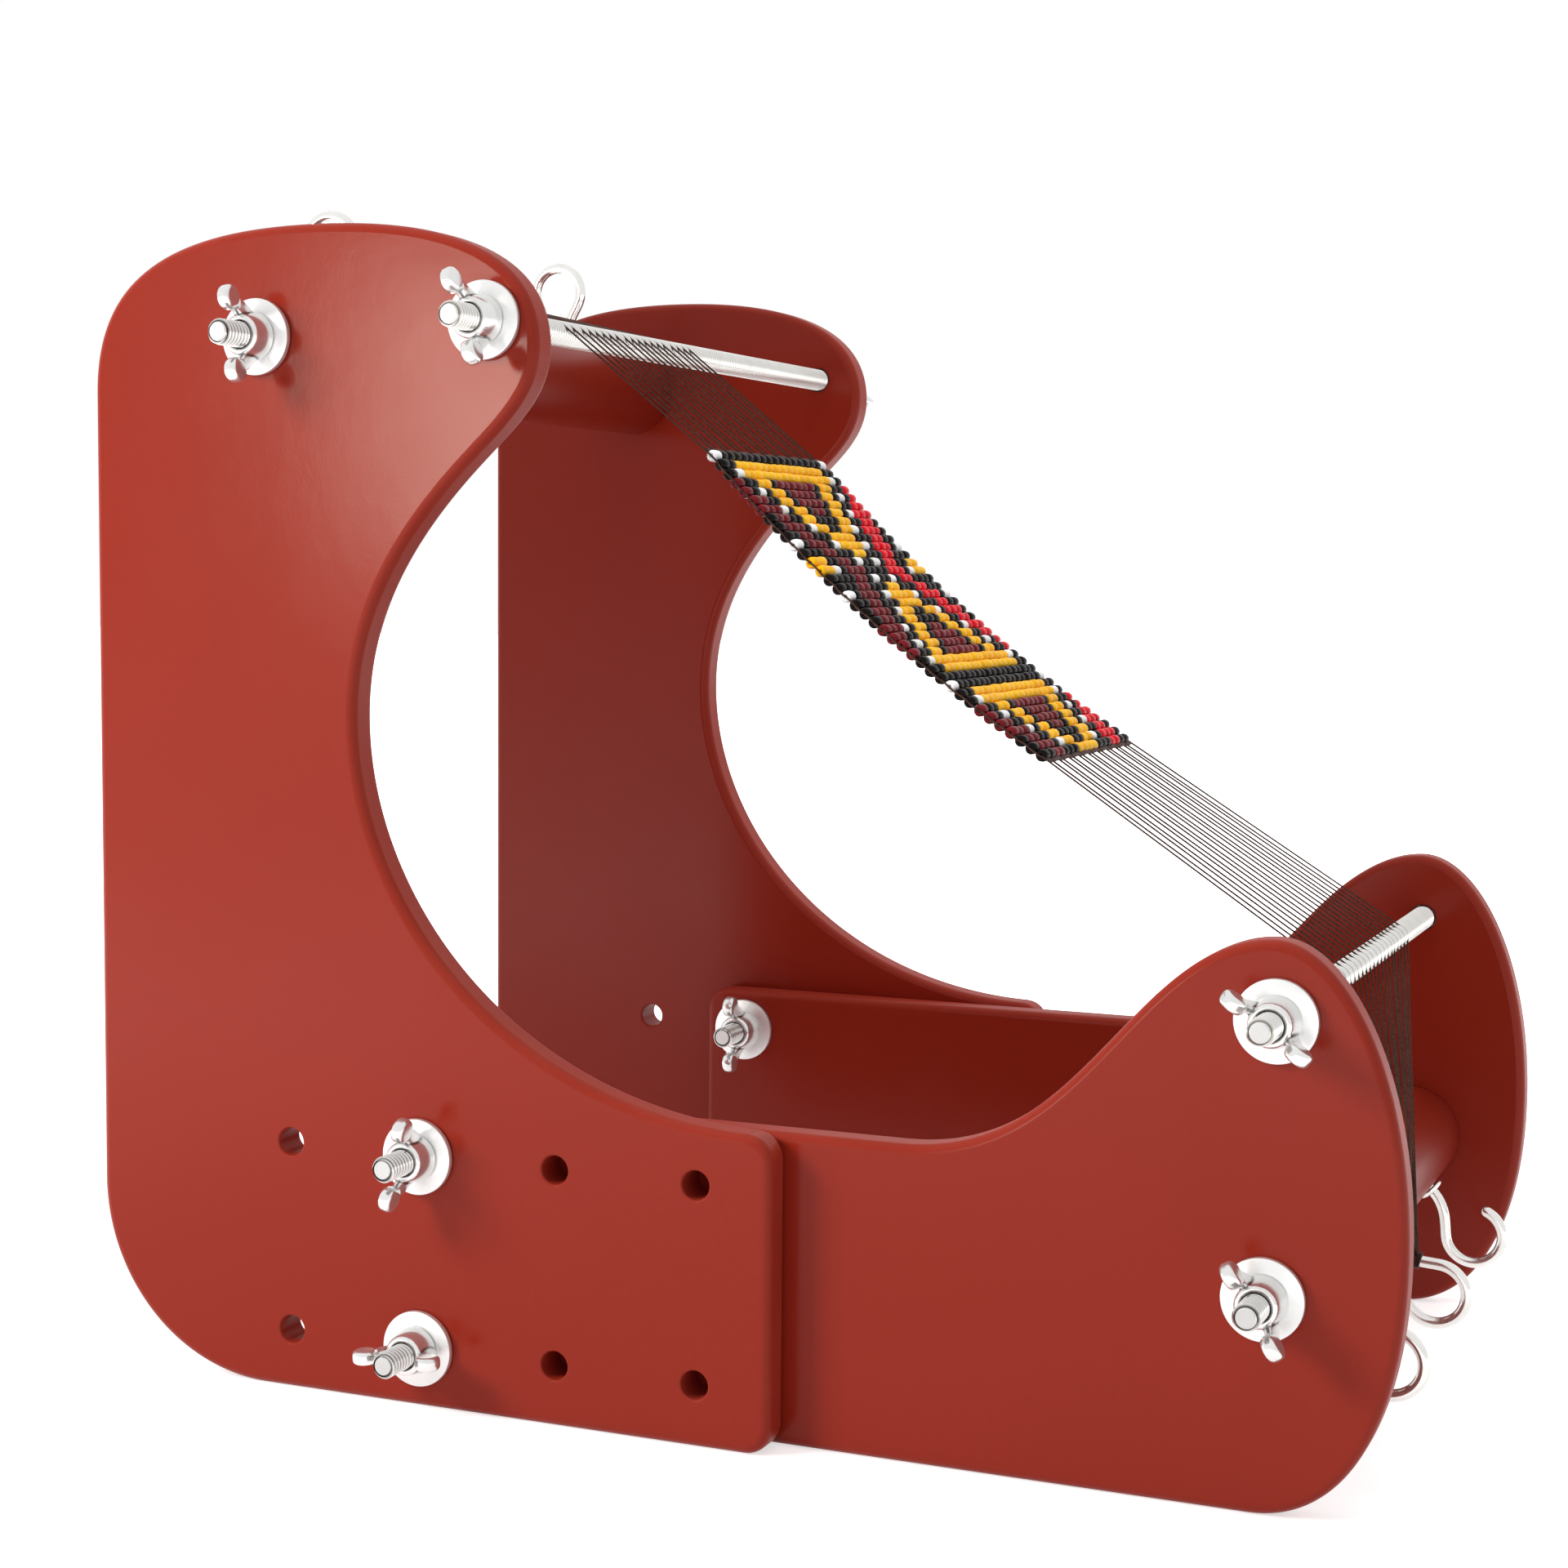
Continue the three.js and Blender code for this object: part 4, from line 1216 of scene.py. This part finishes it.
def world():
    """White behind the loom, also in its reflections, and an even light from all round."""
    made = bpy.data.worlds.new("surround")
    bpy.context.scene.world = made
    made.use_nodes = True
    tree = made.node_tree
    light = wire(tree.nodes["Background"], Color=WHITE, Strength=AMBIENT)
    white = add(tree, "ShaderNodeBackground", Color=WHITE, Strength=1.0)
    either = add(tree, "ShaderNodeMixShader")
    feed(either.inputs, (on_background(tree), light.outputs[0], white.outputs[0]))
    wire(tree.nodes["World Output"], Surface=either.outputs[0])


def lamp(name):
    """A lamp from the table, which the camera doesn't see."""
    place, aim, width, height, power = LAMPS[name]
    data = bpy.data.lights.new(name, "AREA")
    data.shape = "RECTANGLE"
    data.size = width
    data.size_y = height
    data.energy = power
    made = in_scene(name, data)
    made.location = place
    made.rotation_mode = "QUATERNION"
    made.rotation_quaternion = (Vector(aim) - Vector(place)).to_track_quat("-Z", "Y")
    made.visible_camera = False
    return made


def camera():
    """The camera at the photograph's viewpoint."""
    heading, tilt = math.radians(CAMERA_HEADING), math.radians(CAMERA_TILT)
    level = math.cos(tilt)
    ahead = Vector((-math.sin(heading) * level, math.cos(heading) * level, -math.sin(tilt)))
    data = bpy.data.cameras.new("camera")
    data.lens = CAMERA_LENS
    data.sensor_width = SENSOR_WIDTH
    data.clip_start = 0.01
    data.clip_end = 50
    made = in_scene("camera", data)
    made.location = CAMERA_PLACE
    made.rotation_mode = "QUATERNION"
    roll = Quaternion((0, 0, 1), math.radians(CAMERA_ROLL))
    made.rotation_quaternion = ahead.to_track_quat("-Z", "Y") @ roll
    bpy.context.scene.camera = made


def limit(light, name, wanted, state):
    """Makes a lamp reach only the pieces whose names are wanted, or leave them out."""
    made = bpy.data.collections.new(name)
    for piece in bpy.context.scene.objects:
        if wanted(piece.name):
            made.objects.link(piece)
    for entry in made.collection_objects:
        entry.light_linking.link_state = state
    light.light_linking.receiver_collection = made


def lamps():
    """A soft key from the front left, a window that shows in reflections alone, a small lamp on the beadwork,
    and two weak fills. The key and the window leave out the shaded pieces, and the window the nuts too."""
    key, window, strip, top, back = [lamp(name) for name in LAMPS]
    window.data.color = WINDOW_COLOUR
    window.visible_diffuse = False
    for dull in (key, strip, top, back):
        dull.visible_glossy = False
    limit(key, "out_of_the_key", lambda name: name in SHADED, "EXCLUDE")
    limit(window, "out_of_the_window", lambda name: name in SHADED or name.endswith("_nut"), "EXCLUDE")
    limit(strip, "beadwork", lambda name: name.startswith("beads_"), "INCLUDE")


camera()
floor()
world()
side_panels()
hook_bar("rear_round_bar", "rear_hook_bar", rear_bar)
hook_bar("front_round_bar", "front_hook_bar", front_bar)
hooks("rear")
hooks("front")
rods_and_bolts()
fasteners()
beadwork()
warp()
weft()
tails()
lamps()

bpy.context.scene.view_settings.view_transform = "Standard"
